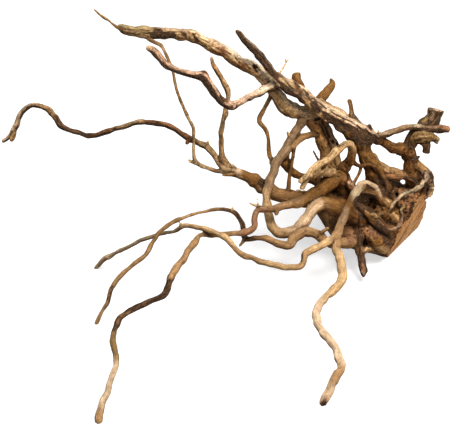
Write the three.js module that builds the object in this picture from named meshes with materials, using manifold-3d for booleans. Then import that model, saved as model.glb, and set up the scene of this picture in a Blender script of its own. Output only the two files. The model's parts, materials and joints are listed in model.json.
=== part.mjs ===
// A spiderwood root: the stump of a shrub's root with its limbs, as it lies on a table on four root tips and its underside.
// It grew as one piece, so it is one solid. Millimetres, +Z up, standing on the plane z = 0.
import * as THREE from "three";
import { mergeVertices } from "three/addons/utils/BufferGeometryUtils.js";
import Module from "manifold-3d";

const wasm = await Module();
wasm.setup();

// How the root was measured: by eye, from in front and above, on an upright sheet through its middle.
// A point is [right, down, back]: right and down on the sheet, and back is how far it lies behind the sheet.
const EYE_DISTANCE = 1600;
const EYE_TILT = THREE.MathUtils.degToRad(32);
const SHEET_CENTRE = { right: 230, down: 212.5 };
const SHEET_HEIGHT = 68.3; // the sheet's centre above the table
const STAND = { x: 9.87, y: 41.403, z: 0 }; // moves the middle of the root's outline on the table to the origin

// Saw cuts: a plane through a point of the sheet, the way it faces, and the size of what it takes away.
// The first freed the stump, and the second took the end off the arm that points up.
const SAW_CUTS = [
  { through: [411.8, 216, 60], right: 0.85, down: 0.49, near: 0.34, reach: 200 },
  { through: [436, 109.3, 53], right: 0.19, down: -0.95, near: 0.22, reach: 24 },
];

// The table takes a little off each low point, which leaves small flats to stand on.
const TABLE_SIZE = 1200;

// Surface relief of the limbs, as shares of the radius.
const FLUTE = 0.08;
const LUMPINESS = 0.07;
const LEAST_SIDES = 5;
const RING_STEP = 10;

// Limbs, each from where it grows out to its tip: [right, down, back, radius].
const LIMBS = {
  "high_limb": [[316, 117, 42, 8.5], [308, 113, 38, 8], [299, 112, 36, 7], [290, 109, 34, 7.6], [283, 103, 31, 7.2],
    [276, 94, 28, 6.6], [270, 84, 26, 7], [262, 74.5, 24, 7.2], [251, 67.5, 23, 6.6], [240, 62, 22, 6],
    [230, 55, 22, 5.5], [220, 48.5, 21, 5.4], [210, 44, 21, 5.5], [200, 38.8, 20, 6], [190, 35, 20, 5.5],
    [180, 33.8, 20, 5.7], [170, 33, 20, 5.5], [160, 32.7, 20, 5.8], [150, 32.4, 20, 6], [140, 31.6, 20, 5.5],
    [130, 30.2, 20, 4.5], [120, 26.6, 20, 3.1]],
  "high_twig": [[126, 30.5, 19, 2.2], [121, 28.6, 17, 1.6], [116, 26, 15, 1.2], [112, 23.3, 13, 1], [109, 20.4, 12, 1],
    [105.5, 18, 10, 1], [101, 15, 8, 0.9], [97, 11.8, 6, 0.9], [92.5, 6.5, 4, 0.8]],
  "knuckle_limb": [[279, 84.5, 20, 2.6], [273, 85.5, 19, 3.6], [267, 88, 17, 4.3], [261, 91, 12, 3.8], [253, 95, 6, 3.5],
    [245, 98.5, 1, 3.5], [238, 101.5, -3, 3.6], [232, 104.3, -6, 4.2], [226, 102.6, -9, 4.2], [220, 99.3, -12, 4.4],
    [216, 94, -14, 4], [212, 87.3, -17, 4.1], [208, 81.5, -20, 4.4], [203, 75.8, -23, 5], [197, 75.3, -26, 3.8],
    [190, 74, -29, 3.2], [182, 71.4, -32, 3], [174, 68, -35, 3], [167, 64.4, -38, 3.2], [161, 59.4, -41, 3.2],
    [157, 54, -44, 3.3], [152.5, 49.5, -47, 3.1], [148.5, 47.6, -50, 2.6]],
  "far_left_root": [[233, 171, 30, 4], [226, 168.3, 30, 3.8], [221, 164.5, 31, 3.3], [217.5, 159.5, 32, 3], [214, 153.8, 33, 3],
    [210, 148.6, 34, 3.1], [205, 145, 36, 2.7], [198, 142.4, 38, 2.4], [191, 138.8, 41, 2.9], [185, 135.4, 43, 2.8],
    [178, 131.2, 46, 2.7], [170, 126.6, 49, 2.7], [162, 123.3, 52, 2.6], [153, 121.7, 56, 2.5], [145, 121.7, 59, 2.5],
    [137, 122.2, 62, 2.3], [129, 124.2, 65, 2.2], [121, 127.3, 68, 2.1], [113, 128.7, 71, 2.3], [105, 131.5, 74, 2.3],
    [97, 134.4, 77, 2.3], [88.5, 135.2, 80, 2.6], [82, 133.6, 82, 2.2], [75, 131, 85, 2.1], [68, 129, 87, 2.4],
    [62, 126.3, 89, 2.7], [58, 121, 91, 2.8], [54, 115, 94, 2.7], [49.5, 109.3, 97, 3], [44, 107.2, 99, 2.3],
    [37, 105, 102, 2.2], [30, 105, 104, 2.2], [24.5, 108, 107, 2.5], [20, 115, 110, 2.6], [16, 125, 113, 2.8],
    [12.3, 133.5, 116, 2.6], [8, 137.2, 118, 1.9], [3, 140.6, 120, 1.7]],
  "far_left_stub": [[14.5, 129, 114, 2], [13, 134, 112, 2.6], [12, 139.5, 110, 2.4]],
  "far_left_nub": [[191, 138, 41, 2], [188.5, 140.5, 38, 2], [186.7, 143, 35, 1.7]],
  "far_left_thorn": [[204, 145, 36, 2], [207, 143.2, 34, 1.7], [208.3, 141.2, 32, 1.1]],
  "hanging_twig": [[145, 34, 20, 2.5], [149, 38.5, 18, 1.9], [155, 41.6, 16, 1.6], [161, 45, 14, 1.6], [165, 51.5, 12, 1.3],
    [168.3, 58.5, 11, 1.3], [172, 68, 10, 1.4], [174, 77, 10, 1.3], [176, 87, 10, 1.3], [180, 99, 11, 1.3],
    [184.3, 109, 13, 1.3], [189, 118.7, 15, 1.4], [193.2, 127, 18, 1.7], [193.6, 137, 21, 1.5], [193.5, 148, 24, 1.6],
    [194, 157, 26, 1.8], [197.5, 162.7, 27, 2], [203, 165.8, 28, 1.9], [210, 168.6, 29, 1.8], [217, 170.4, 30, 2],
    [226, 171, 30, 2.8]],
  "hanging_twig_stub": [[197, 163, 27, 1.8], [192.5, 161.8, 26, 1.5], [189, 159.8, 25, 1.2]],
  "leaning_limb": [[232, 171, 31, 4], [226, 163.5, 30, 3.2], [222.7, 157, 29, 2.8], [221.6, 150, 27, 2.6], [221.3, 143, 26, 2.6],
    [220.5, 135.5, 24, 2.4], [221.9, 128, 22, 2.1], [223.5, 120, 20, 2.2], [225, 113, 18, 2.4], [225.6, 108, 17, 2.2],
    [227.3, 101.5, 15, 2.2], [228.7, 95.5, 13, 2.3], [228, 90, 12, 2.4], [224.3, 84, 10, 2.3], [221, 77.5, 8, 2.3],
    [216.8, 70.5, 5, 2], [213, 64, 3, 1.9], [211, 57, 1, 1.4]],
  "left_trunk": [[350, 200, 50, 13], [337, 199, 44, 12], [322, 199.5, 36, 10], [308, 199, 31, 8], [296, 197.5, 29, 7],
    [285, 195.5, 29, 7], [274, 192, 30, 7.2], [263, 186, 30, 7.2], [254, 180.5, 30, 6.5], [245, 175.3, 30, 5.9],
    [237, 172, 30, 4.6], [229, 170.3, 30, 3.7], [221, 171, 30, 2]],
  "left_trunk_splinter": [[238, 173, 28, 2.6], [230, 174, 26, 1.9], [223, 174.8, 25, 1.4]],
  "left_trunk_thorn": [[235.5, 168.5, 28, 1.6], [233.5, 165.5, 27, 1.1], [232, 162, 26, 0.7]],
  "arch_root": [[366, 219, 40, 14], [354, 213.5, 24, 10], [343, 209, 15, 8.6], [333, 205.5, 9, 7.6], [324.5, 203, 5, 6.6],
    [316.5, 205.3, 2, 6.3], [310.5, 211.5, 0, 6], [306, 219, 0, 5.8], [300, 226, 1, 5.1], [293, 230.8, 3, 4.8],
    [285, 233.3, 5, 5.2], [277, 231, 6, 5.4], [272, 225, 6, 5.2], [269.6, 217, 6, 4.7], [268, 208, 6, 4.3],
    [266.6, 200, 7, 4.2], [266.4, 192, 8, 4.3], [269, 184, 10, 4.4], [271.7, 176, 12, 4.2], [274.7, 168, 15, 4.1],
    [278, 160, 18, 4.5], [282, 154, 21, 5], [287, 148, 25, 4.9], [290.3, 141, 29, 4.6], [294.2, 134, 32, 4.3],
    [299, 126, 35, 4.1], [305, 117, 38, 4.6]],
  "crooked_twig": [[276, 89, 27, 3], [272.5, 93, 28, 2.2], [269, 99, 29, 1.9], [265, 106, 30, 2], [262, 112, 30, 2.2],
    [259, 117.7, 30, 2.6], [259.7, 122, 29, 2.3], [263.6, 126, 28, 2], [266.6, 131, 27, 2], [268, 138, 26, 1.9],
    [268.3, 146, 25, 1.9], [268.9, 153, 23, 2.1], [272, 159, 20, 2.2], [277, 163, 17, 2]],
  "crooked_twig_thorn": [[271.5, 158, 20, 1.8], [269.6, 163, 17, 1]],
  "cross_branch": [[322, 132, 46, 4], [315, 133.3, 41, 3.3], [308, 135, 36, 3.2], [301, 137.8, 31, 3.1], [296, 141.4, 28, 3.2],
    [292, 147, 25, 3.2]],
  "arch_thorn": [[291, 137, 29, 2.2], [288, 133.5, 26, 1.4], [287, 130.7, 24, 0.9]],
  "stay_twig": [[295, 142, 27, 2.2], [294, 148, 26, 1.8], [293, 156, 26, 1.7], [291.5, 164, 26, 1.8], [290, 173, 26, 1.8],
    [288.8, 182, 25, 1.8], [288, 190, 25, 2.1], [287.5, 196, 26, 2.4]],
  "inner_branch": [[336, 190, 44, 6], [324, 185, 41, 4.6], [313, 180.5, 38, 4], [304, 176.6, 36, 3.9], [296, 173, 34, 4],
    [288.5, 168.5, 32, 4], [285, 162, 29, 4.6], [284, 154, 25, 5]],
  "left_strand": [[340, 192, 44, 12], [333, 180, 46, 9.5], [329, 170, 47, 7], [327, 160, 48, 6], [325, 150, 48, 5.8],
    [322, 140, 47, 5.6], [318, 130, 45, 5.8], [312, 120, 41, 6.5], [305, 113, 37, 6.5]],
  "right_strand": [[344, 186, 52, 9], [340, 174, 52, 6], [337, 165, 52, 4.6], [336, 156, 51, 4.4], [334.5, 147, 50, 4.6],
    [331, 138.5, 48, 4.4], [327, 130, 46, 4.2], [322.5, 121, 42, 5], [318, 113, 36, 6]],
  "dark_limb": [[371, 138.5, 34, 6], [364, 138, 32, 9.4], [357, 134, 30, 9.8], [349, 128, 28, 8], [340, 122.3, 26, 7],
    [330, 116.5, 23, 6.4], [320, 110.5, 20, 6], [311, 103, 18, 5], [303, 97.6, 16, 4.2], [295, 93, 14, 3.7],
    [287.5, 89.5, 12, 3.9], [281, 83, 10, 3.7], [274.5, 75, 9, 3.7], [268.5, 67, 7, 3.9], [262.5, 59, 5, 4],
    [256, 52, 3, 3.6], [249.5, 44.3, 1, 3.3], [243, 37.5, -1, 3.1], [237.3, 31, -3, 2.6]],
  "light_strand": [[375, 137, 34, 3.5], [370, 131.5, 30, 4.4], [362, 127.5, 27, 4.8], [353, 124, 25, 4.6], [343, 118.5, 23, 4.4],
    [332, 112.3, 21, 4], [322, 105.7, 19, 3.8], [313, 98.7, 18, 3.8], [305, 93, 17, 4.2], [297, 88, 16, 4.2],
    [289.5, 82.5, 15, 4], [283, 78, 13, 2.8], [278, 73, 11, 2]],
  "hump_strand": [[358, 125, 34, 4.5], [352, 120.5, 33, 4.2], [346, 116.6, 33, 4], [339, 112.7, 33, 4.1], [331.5, 109, 33, 3.9],
    [325, 104.6, 33, 4.2], [319, 101, 31, 4.2]],
  "horn_stub": [[317, 102, 32, 4], [321, 97.5, 35, 4.3], [326, 92.8, 38, 4.5], [330.3, 87.7, 41, 4.4], [332, 83, 43, 3.2],
    [330.4, 78.3, 44, 1.2]],
  "thumb_stub": [[307, 99, 22, 5.5], [303, 92, 25, 5], [299, 84.5, 28, 4.8], [296.5, 78.5, 31, 4.6], [296, 73.6, 33, 4]],
  "fine_twig": [[277, 76, 11, 1.4], [280.5, 70.8, 14, 1], [284.5, 65, 16, 0.9], [288.3, 59.2, 18, 0.9], [291, 58.3, 19, 0.8]],
  "fine_twig_prong": [[286.2, 63, 17, 0.8], [285.5, 60.5, 16, 0.8], [285.2, 58, 15, 0.7]],
  "finger_stub": [[353, 122, 32, 3.2], [352, 116, 31, 2.3], [351.3, 110, 31, 1.8], [350.4, 104.5, 30, 1.8], [349, 100, 29, 2]],
  "bark_strap": [[350.5, 112, 34, 1.6], [354.5, 117.5, 34, 1.9], [360, 123, 33, 1.8], [367, 128, 32, 2.2]],
  "knot_wart": [[366, 133, 28, 3.4], [369.5, 128.5, 26, 2.4], [369.8, 124.8, 25, 1.6]],
  "right_limb": [[366, 140, 34, 4.4], [373, 137.6, 34, 3.1], [380, 135.2, 35, 3.1], [387, 133, 36, 3.2], [394, 130.5, 37, 2.9],
    [402, 128.6, 39, 2.8], [410, 127, 41, 2.7], [418, 126.9, 43, 3.1], [426, 128, 43, 3.5], [434, 128.4, 43, 3.6],
    [442, 128.8, 43, 3.5], [449.3, 129.2, 43, 3.3]],
  "right_limb_thorn": [[380, 134.5, 34, 1.5], [378.5, 131.4, 32, 1], [377.3, 128.4, 31, 0.8]],
  "right_trunk": [[421, 204, 66, 16], [418, 192, 64, 12.5], [415, 181, 61, 9.5], [412.5, 171, 59, 8.2], [411, 161, 57, 7.7],
    [408.5, 154, 55, 7.6], [403, 149.6, 52, 6.8], [396, 148.2, 48, 5.4], [389, 145.2, 44, 4.7], [382, 141.5, 40, 4.3],
    [373, 138.5, 35, 4.4]],
  "sawn_arm": [[406, 152, 54, 6.4], [409.5, 144, 53, 6], [414.5, 136.5, 52, 6.6], [421, 129, 51, 7.8], [428.5, 122, 51, 8.5],
    [433.7, 115.5, 52, 7.9], [437, 108.5, 53, 7.2], [439.5, 102, 54, 7]],
  "burr": [[413, 140, 50, 5], [418, 137.6, 47, 7.4], [424, 137, 46, 6.6], [430, 137, 45, 4.8], [435, 138, 44.5, 3.6],
    [438.3, 138.4, 44, 2]],
  "burr_tooth": [[433, 138, 44, 3], [436.3, 141, 44, 2.2], [436.8, 144, 43, 0.9]],
  "burr_leg": [[422, 139, 48, 5], [426, 144, 48, 4.4], [426.5, 148.5, 49, 3.4], [426.2, 152.2, 50, 3.8]],
  "crown_flange": [[412, 158, 54, 5], [417.2, 163.8, 53, 4], [421.2, 167.8, 53, 4], [425.5, 171, 53, 4], [430, 176.5, 54, 4.5]],
  "right_trunk_thorn": [[413, 160.5, 50, 2.4], [416.8, 158, 48, 1.6], [419.6, 155.7, 47, 0.9]],
  "neck": [[361, 139, 32, 9], [363, 147, 34, 8], [367, 157, 37, 8], [371.5, 167, 41, 7.8], [376.5, 177, 44, 8.2],
    [382, 188, 48, 9], [389, 200, 54, 12]],
  "shoulder_root": [[371, 155.5, 44, 5], [378, 166, 50, 6], [388, 172, 54, 6.2], [397, 174.6, 57, 5.6], [406, 176, 59, 6],
    [415, 180, 61, 7]],
  "loop_root": [[383, 179, 46, 6], [391, 177.2, 44, 3.8], [399, 177.6, 43, 2.3], [406, 176.6, 43, 2.2], [412.5, 179, 44, 2.3],
    [417.5, 184.5, 46, 2.5], [417, 191, 50, 3]],
  "ridge_root": [[353, 161, 18, 2.2], [357, 164.3, 21, 1.8], [362, 165.3, 24, 1.5], [368, 164, 27, 1.6], [374, 166.3, 30, 2],
    [379.5, 172, 33, 2.2], [384, 179.5, 36, 2.4], [387.5, 188, 41, 2.8], [389, 197, 46, 3.5]],
  "stay_thread": [[361, 164.5, 24, 1.6], [360.3, 170, 24, 1.3], [358, 175.5, 23, 1.3], [355, 180, 21, 1.4], [352, 185, 19, 1.8]],
  "long_left_root": [[347.5, 194, 42, 9], [341.5, 185, 34, 8.5], [337.5, 178, 26, 8], [331, 180.5, 18, 8.2], [323, 187.3, 12, 7.6],
    [314, 193.6, 6, 6.2], [305, 198.6, 1, 5.1], [296, 202.2, -3, 4.6], [287, 205, -6, 3.8], [278, 207.3, -8, 3.6],
    [270, 208.4, -10, 3.2], [262, 208.8, -13, 2.9], [257.3, 210, -15, 2.7], [255, 214.5, -17, 2.7], [255, 220, -19, 2.7],
    [254.4, 225.6, -22, 2.7], [250.5, 230, -25, 2.9], [244, 232, -28, 2.9], [236, 232.7, -31, 2.6], [228, 233.3, -34, 2.5],
    [220, 234.3, -36, 2.4], [212, 235, -38, 2.2], [204, 234.4, -40, 2], [199.3, 235.3, -42, 2.4], [195.5, 240.5, -45, 3.1],
    [191, 247, -49, 3.3], [185.5, 255, -54, 3.2], [180, 263, -59, 3.2], [175, 270, -64, 3.7], [170, 277, -68, 3.5],
    [168, 284, -72, 3], [166.6, 291, -76, 3], [163.3, 295.6, -80, 2.9], [157, 297.6, -83, 2.9], [150, 300.2, -86, 2.9],
    [142, 304.3, -90, 2.8], [134, 308.2, -94, 2.8], [127, 312.5, -98, 2.6], [120, 317.5, -103, 2.8],
    [116.5, 324, -107, 2.6], [114, 332, -112, 2.6], [112.5, 341, -117, 2.8], [113.8, 348, -122, 2.7],
    [116.4, 356, -127, 2.8], [116.5, 364, -132, 2.8], [113.6, 372, -137, 2.8], [110.5, 381, -143, 2.7],
    [107.4, 390, -149, 2.8], [103.6, 400, -156, 2.9], [100.5, 409, -162, 3.4], [99, 416.5, -167, 3.9],
    [98.5, 421.5, -170, 3.6]],
  "long_left_spike": [[266, 207.5, -12, 2], [259, 206, -15, 1.3], [254, 204.4, -17, 1.1], [249, 202.3, -19, 0.7]],
  "long_left_thorn": [[258.5, 207, -15, 1.3], [258, 202.5, -16, 1], [257, 198, -17, 0.7]],
  "long_left_nub": [[276, 208, -9, 2.2], [277, 211, -10, 2.3], [277, 213.3, -10, 1.8]],
  "low_root": [[354, 239, 26, 7], [343, 243, 6, 5], [334, 244, -3, 3.6], [328, 242.5, -7, 3.6], [322.5, 238, -8, 4.4], [316, 233.3, -8, 4.6],
    [308, 230.6, -8, 4.8], [300, 233, -9, 5.1], [294, 238, -11, 4.6], [288.5, 244.5, -14, 4.3], [281.5, 244.3, -16, 3.3],
    [274, 241, -16, 3], [266, 238, -15, 2.9], [258, 237.7, -14, 2.6], [250, 238.8, -13, 2.5], [245, 236.8, -13, 2.6],
    [243.8, 230, -14, 2.7], [243, 224.5, -15, 2.5], [239.3, 218, -15, 2.3], [235.6, 213, -15, 2.3], [231, 210.2, -15, 2],
    [224, 208.8, -16, 1.7], [216, 208.7, -17, 1.7], [208, 210.4, -18, 1.5], [200, 212, -20, 1.4], [192, 214, -22, 1.4],
    [184, 217, -24, 1.5], [177, 219.6, -26, 1.8], [170, 223.5, -28, 1.8], [163, 228.5, -30, 1.9], [157.5, 234, -31, 2],
    [153, 241, -32, 2], [149.5, 248, -33, 2], [146, 254.5, -34, 2.1], [141, 258.2, -35, 2], [135.5, 262, -36, 2],
    [128, 268.2, -37, 2], [121, 275, -38, 2], [115.5, 281, -39, 2], [111.5, 288, -40, 2], [109.3, 296, -41, 1.9],
    [107.7, 302.5, -42, 1.9], [103, 309.5, -42, 1.8], [99.5, 316, -43, 1.8], [96, 323.5, -43, 1.7]],
  "low_root_stub": [[246, 238, -13, 2], [243, 241, -14, 1.5], [240, 245.3, -15, 1.2]],
  "low_root_snag": [[319, 236, -10, 2.6], [322.5, 231.5, -12, 1.9], [328, 227.8, -14, 1.6]],
  "low_root_thorn": [[232, 210, -16, 1.1], [233.2, 205.6, -17, 0.7]],
  "front_root": [[392, 205, 48, 6], [386.5, 198.5, 41, 4], [381, 191, 34, 3.2], [374, 186.6, 28, 3], [367.5, 184, 22, 3.4],
    [362, 185.6, 16, 4], [358, 190, 11, 4], [353.5, 197, 6, 3.8], [349.3, 204, 1, 3.9], [346, 211, -4, 3.8],
    [343.3, 218, -9, 3.9], [340.5, 225, -14, 4], [337.8, 232, -19, 4.4], [336, 239, -24, 4.4], [336.5, 247, -29, 4],
    [338.5, 255, -35, 4.1], [341, 262.5, -42, 4.3], [342.3, 270, -49, 4.4], [342, 278, -56, 4.3], [338.7, 285, -63, 4.3],
    [332.5, 290.6, -69, 4], [326.5, 296, -75, 3.9], [321, 302, -81, 3.9], [317, 308.5, -87, 3.9], [315.7, 315, -93, 3.9],
    [317.5, 322, -99, 3.8], [321, 329, -105, 3.6], [326, 335.6, -111, 3.5], [331.5, 342, -117, 3.6],
    [336, 349.5, -123, 3.7], [338.6, 357, -129, 4.2], [341, 364.5, -134, 4], [340, 370.5, -138, 4.1],
    [335.6, 377, -141, 4], [331.7, 384, -143.5, 3.9], [329.4, 390.5, -145.5, 3.9], [326, 396.5, -147, 4.1],
    [323.5, 401.5, -148.5, 3.9], [323, 404.5, -150, 2.9]],
  "floor_root": [[337, 234, -21, 4.6], [333, 239, -26, 4], [326, 242.5, -30, 3.7], [318, 246.2, -33, 3.6], [310, 250.3, -36, 3.4],
    [305, 253.8, -38, 3.2], [303.7, 260, -40, 2.8], [301.5, 265.3, -42, 3.2], [295, 267, -44, 2.9], [287, 266.8, -46, 2.8],
    [278, 265.3, -48, 2.8], [268, 263, -49, 2.7], [259, 260.6, -50, 2.6], [251, 257.4, -51, 3], [244.5, 255.5, -51, 3],
    [239, 252, -51, 2.9], [234, 246.5, -50, 2.6], [229.3, 241, -49, 2.6], [223, 235.8, -48, 2.7], [216, 232, -46, 2.4],
    [208, 229.3, -43, 2.3], [200, 227.2, -39, 2.2], [191.5, 226, -34, 2], [184, 224.6, -30, 2], [180.5, 226.2, -27, 2],
    [176.5, 229.4, -23, 1.8], [170, 231.6, -19, 1.5], [163, 232.8, -15, 1.6], [156, 235, -11, 1.9], [148, 237.4, -6, 1.9],
    [140, 240, -1, 2], [132, 244.5, 5, 2], [124, 248.6, 11, 1.9], [116, 251.8, 18, 1.8], [109, 256, 25, 2.4],
    [103.3, 260, 31, 2.3], [99, 264.4, 36, 2.1], [95.5, 267.3, 39, 1.6]],
  "floor_root_snag": [[181.5, 225.5, -27, 1.5], [179, 221.5, -26, 1]],
  "hooked_limb": [[337.5, 177, 31, 7.6], [342.3, 169.5, 26, 5.8], [348, 163, 20, 5.2], [351.6, 156, 14, 4.3], [352, 149, 8, 4.2],
    [350.2, 143.2, 3, 4], [345, 144, -2, 3.6], [339, 149, -7, 3.7], [332, 155, -12, 3.8], [325, 161, -16, 3.7],
    [318, 166, -20, 3.6], [312, 170.5, -23, 3.4], [308.6, 174, -25, 2.8], [304.3, 178, -27, 1.9], [299.3, 181, -29, 1.7]],
  "web_knob": [[333, 172, 16, 4.4], [326, 171.5, 6, 3.8], [320, 174, 0, 3], [314.5, 175.5, -6, 2.2]],
  "hooked_limb_prong": [[311, 172, -23, 2.6], [308, 177, -23, 2], [304.5, 182.5, -24, 1.8], [301, 188, -25, 1.5]],
  "hooked_limb_wart": [[313, 170, -22, 2.4], [312, 174, -24, 2], [311, 177, -25, 1.4]],
  "spare_prop": [[320, 190, 20, 4], [318.3, 182, 14, 3.4], [318.5, 174, 8, 3.2], [322, 166, 0, 2.8], [325, 162, -12, 2.6]],
  "stray_thorn": [[322, 165, 2, 2], [319, 161, 0, 1.4], [316, 155.5, -3, 1.2], [313.5, 150.3, -6, 0.8]],
  "needle_thorn": [[308, 196, 6, 1.6], [304, 192.5, 4, 1.1], [299.5, 190.5, 2, 1], [294, 189.3, 0, 0.7]],
  "rough_strand": [[344, 172, 34, 4], [346.5, 178, 30, 3.8], [350, 184, 24, 3.8], [354, 188.5, 20, 3.6], [358, 194, 22, 3.4],
    [356, 203, 28, 5]],
  "brow_root": [[360, 189.5, 17, 3.6], [367.5, 191.3, 24, 4.2], [375, 194, 29, 4.4], [381, 199, 34, 5.5], [388, 206, 40, 8]],
  "apron_limb": [[352, 203, 22, 4], [359, 206.5, 20, 4.2], [366, 212, 19, 4.8], [373, 218.5, 21, 5.4], [380, 224.5, 25, 6],
    [386, 229, 30, 6.5], [393, 233, 38, 8]],
  "surface_root": [[429, 171.5, 51, 2.8], [426.5, 177, 44, 3.2], [422, 184, 40, 2.8], [414, 190, 37, 2.3], [406, 193, 33.5, 1.8],
    [399.5, 196.6, 31, 1.7], [394.5, 203, 28, 1.8], [391, 208.5, 24, 1.5], [387.3, 214.6, 20, 1]],
  "rim_root": [[404, 205, 34.5, 2], [401, 210, 34, 1.5], [402, 216, 37, 1.5], [402.3, 221.5, 37.6, 1.6],
    [397.5, 226.6, 34.4, 1.7], [391.5, 229.5, 28.4, 1.5], [386, 232, 24.6, 1.3]],
  "dangling_stub": [[360, 224, 34, 8], [358.5, 233, 27, 6], [358.3, 243, 20, 4], [359.5, 251, 18, 4.4], [361.3, 258.5, 16, 3.2],
    [362.6, 266, 14, 4], [364.4, 272.8, 12, 3.9], [365.4, 278.8, 11, 1.8]],
  "dangling_root": [[372, 247, 34, 4], [366, 248.5, 26, 3], [362, 252, 19, 3.2], [361.5, 259, 16, 2.6]],
  "back_spur": [[374, 206, 84, 15], [362, 209, 106, 11], [352, 211, 124, 8.5], [345, 210.5, 140, 6.5]],
  "back_stub": [[402, 206, 76, 12], [404, 196, 92, 11], [398, 188, 112, 7.5], [391, 180, 128, 5.5]],
  "back_limb": [[375, 186, 62, 9], [373, 172, 84, 6.5], [367, 158, 104, 5], [362, 146, 122, 4], [363, 136, 138, 2.8]],
  "back_root": [[372, 207, 66, 13], [356, 205, 76, 10], [341, 204, 92, 7.5], [331, 203, 112, 5.5], [322, 203, 132, 4]],
};

// The body of the stump: short thick runs of wood that the saw went through, in the same terms.
const STUMP = {
  "lower_block": [[338, 216, 44, 14], [349, 230, 40, 15], [364, 236, 46, 15], [379, 238, 54, 16], [394, 243, 62, 17],
    [408, 250, 70, 17]],
  "buttress": [[322, 206, 44, 8.6], [329, 214, 44, 10], [336, 224, 42, 10.5], [344, 233, 40, 12]],
  "left_knob": [[354, 235, 44, 9], [351, 236, 32, 10], [348.5, 236.5, 24, 8.6], [347, 236.5, 19, 4.4]],
  "middle_block": [[362, 229, 30, 7], [368, 231.5, 27, 8], [375, 238, 31, 9], [384, 244, 38, 9.5], [396, 246, 46, 10]],
  "core": [[372, 206, 70, 16], [385, 208, 66, 19], [399, 210, 64, 21], [415, 216, 68, 24], [430, 224, 72, 26]],
  "bark_face": [[392, 196, 48, 8], [401, 198, 44, 11], [410, 203, 46, 14], [420, 211, 52, 16]],
  "crown": [[420, 176, 56, 7], [426, 180, 56, 9], [430, 188, 58, 10.5], [436, 200, 62, 12]],
  "back_block": [[380, 212, 88, 13], [394, 217, 86, 16], [410, 222, 86, 17], [426, 228, 88, 17]],
  "bowl_block": [[374, 209, 40, 7], [384, 213, 40, 10.5], [394, 219, 45, 12.5], [404, 227, 52, 14]],
};

// Hollows of the stump, cut before the limbs are joined on, so that none of them is nicked.
const HOLLOWS = {
  "rot_pocket": [[364, 198, 4, 7], [364.5, 199, 26, 9], [367, 200, 44, 8], [369, 199, 62, 4]],
  "bark_pit": [[410.5, 205, 20, 2.4], [411, 206, 30, 3], [412, 207, 38, 2]],
  "bark_pit_low": [[396.5, 194, 20, 2.2], [397, 194, 36, 2.8], [397, 195, 44, 2]],
};

// Hollows through the joined wood: a hole right through, a knot hole, a slot and a notch in the sawn edge.
const LATE_HOLLOWS = {
  "peep_hole": [[402.3, 181.2, 30, 3], [402.5, 181.4, 60, 3.2], [403, 181.6, 130, 3.4]],
  "knot_hole": [[263.5, 182, 17, 2.4], [264.5, 182.6, 25, 2.2], [266, 183, 29, 1.2]],
  "slot": [[361.5, 213, 30, 2.6], [367, 220, 32, 1.8], [374, 227.6, 36, 2], [381, 233.5, 41, 2.6], [388, 235, 46, 2]],
  "saw_notch": [[431, 199.5, 20, 1.6], [426.5, 199.7, 60, 1.8], [426.5, 199.7, 110, 1.6]],
};

// From the measuring sheet to the part's own frame.
function place([right, down, back]) {
  const spread = (EYE_DISTANCE + back) / EYE_DISTANCE;
  const across = (right - SHEET_CENTRE.right) * spread;
  const up = (SHEET_CENTRE.down - down) * spread;
  return new THREE.Vector3(
    across + STAND.x,
    up * Math.sin(EYE_TILT) + back * Math.cos(EYE_TILT) + STAND.y,
    SHEET_HEIGHT + up * Math.cos(EYE_TILT) - back * Math.sin(EYE_TILT) + STAND.z,
  );
}

function realRadius([, , back, radius]) {
  return (radius * (EYE_DISTANCE + back)) / EYE_DISTANCE;
}

function solidOf(geometry) {
  const bare = new THREE.BufferGeometry();
  bare.setAttribute("position", geometry.getAttribute("position"));
  if (geometry.index) bare.setIndex(geometry.index);
  const merged = mergeVertices(bare, 1e-4);
  const vertProperties = new Float32Array(merged.attributes.position.array);
  const triVerts = new Uint32Array(merged.index.array);
  return new wasm.Manifold(new wasm.Mesh({ numProp: 3, vertProperties, triVerts }));
}

// The gnarled outline of a limb: how far the surface stands from a round one at an angle and a distance along.
function relief(angle, along, seed) {
  const flutes = Math.sin(2 * angle + along * 0.06 + seed) + 0.6 * Math.sin(3 * angle - along * 0.09 + 2 * seed);
  const lumps = Math.sin(along * 0.21 + 3 * seed) + 0.7 * Math.sin(along * 0.47 + angle + seed);
  return 1 + FLUTE * flutes * 0.6 + LUMPINESS * lumps * 0.6;
}

// A limb: a cylinder with many rings, bent along a smooth curve and given the limb's radius at each ring.
function limbSolid(points, seed) {
  const curve = new THREE.CatmullRomCurve3(points.map(place), false, "centripetal");
  const radii = points.map(realRadius);
  const usual = radii.reduce((a, b) => a + b) / radii.length;
  const sides = Math.min(11, LEAST_SIDES + Math.floor(usual / 3.2));
  const rings = Math.max(2, Math.ceil(curve.getLength() / (RING_STEP + 0.3 * usual)));
  const frames = curve.computeFrenetFrames(rings, false);
  const rod = new THREE.CylinderGeometry(1, 1, 1, sides, rings);
  const position = rod.getAttribute("position");
  const length = curve.getLength();
  for (let i = 0; i < position.count; i++) {
    const share = 0.5 - position.getY(i);
    const ring = Math.round(share * rings);
    const t = curve.getUtoTmapping(ring / rings);
    const centre = curve.getPoint(t);
    const at = t * (points.length - 1);
    const before = Math.min(points.length - 2, Math.floor(at));
    const radius = THREE.MathUtils.lerp(radii[before], radii[before + 1], at - before);
    const x = position.getX(i);
    const z = position.getZ(i);
    const reach = radius * relief(Math.atan2(x, z), share * length, seed);
    centre.addScaledVector(frames.normals[ring], x * reach);
    centre.addScaledVector(frames.binormals[ring], z * reach);
    position.setXYZ(i, centre.x, centre.y, centre.z);
  }
  return faceOut(solidOf(rod), rod);
}

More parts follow.
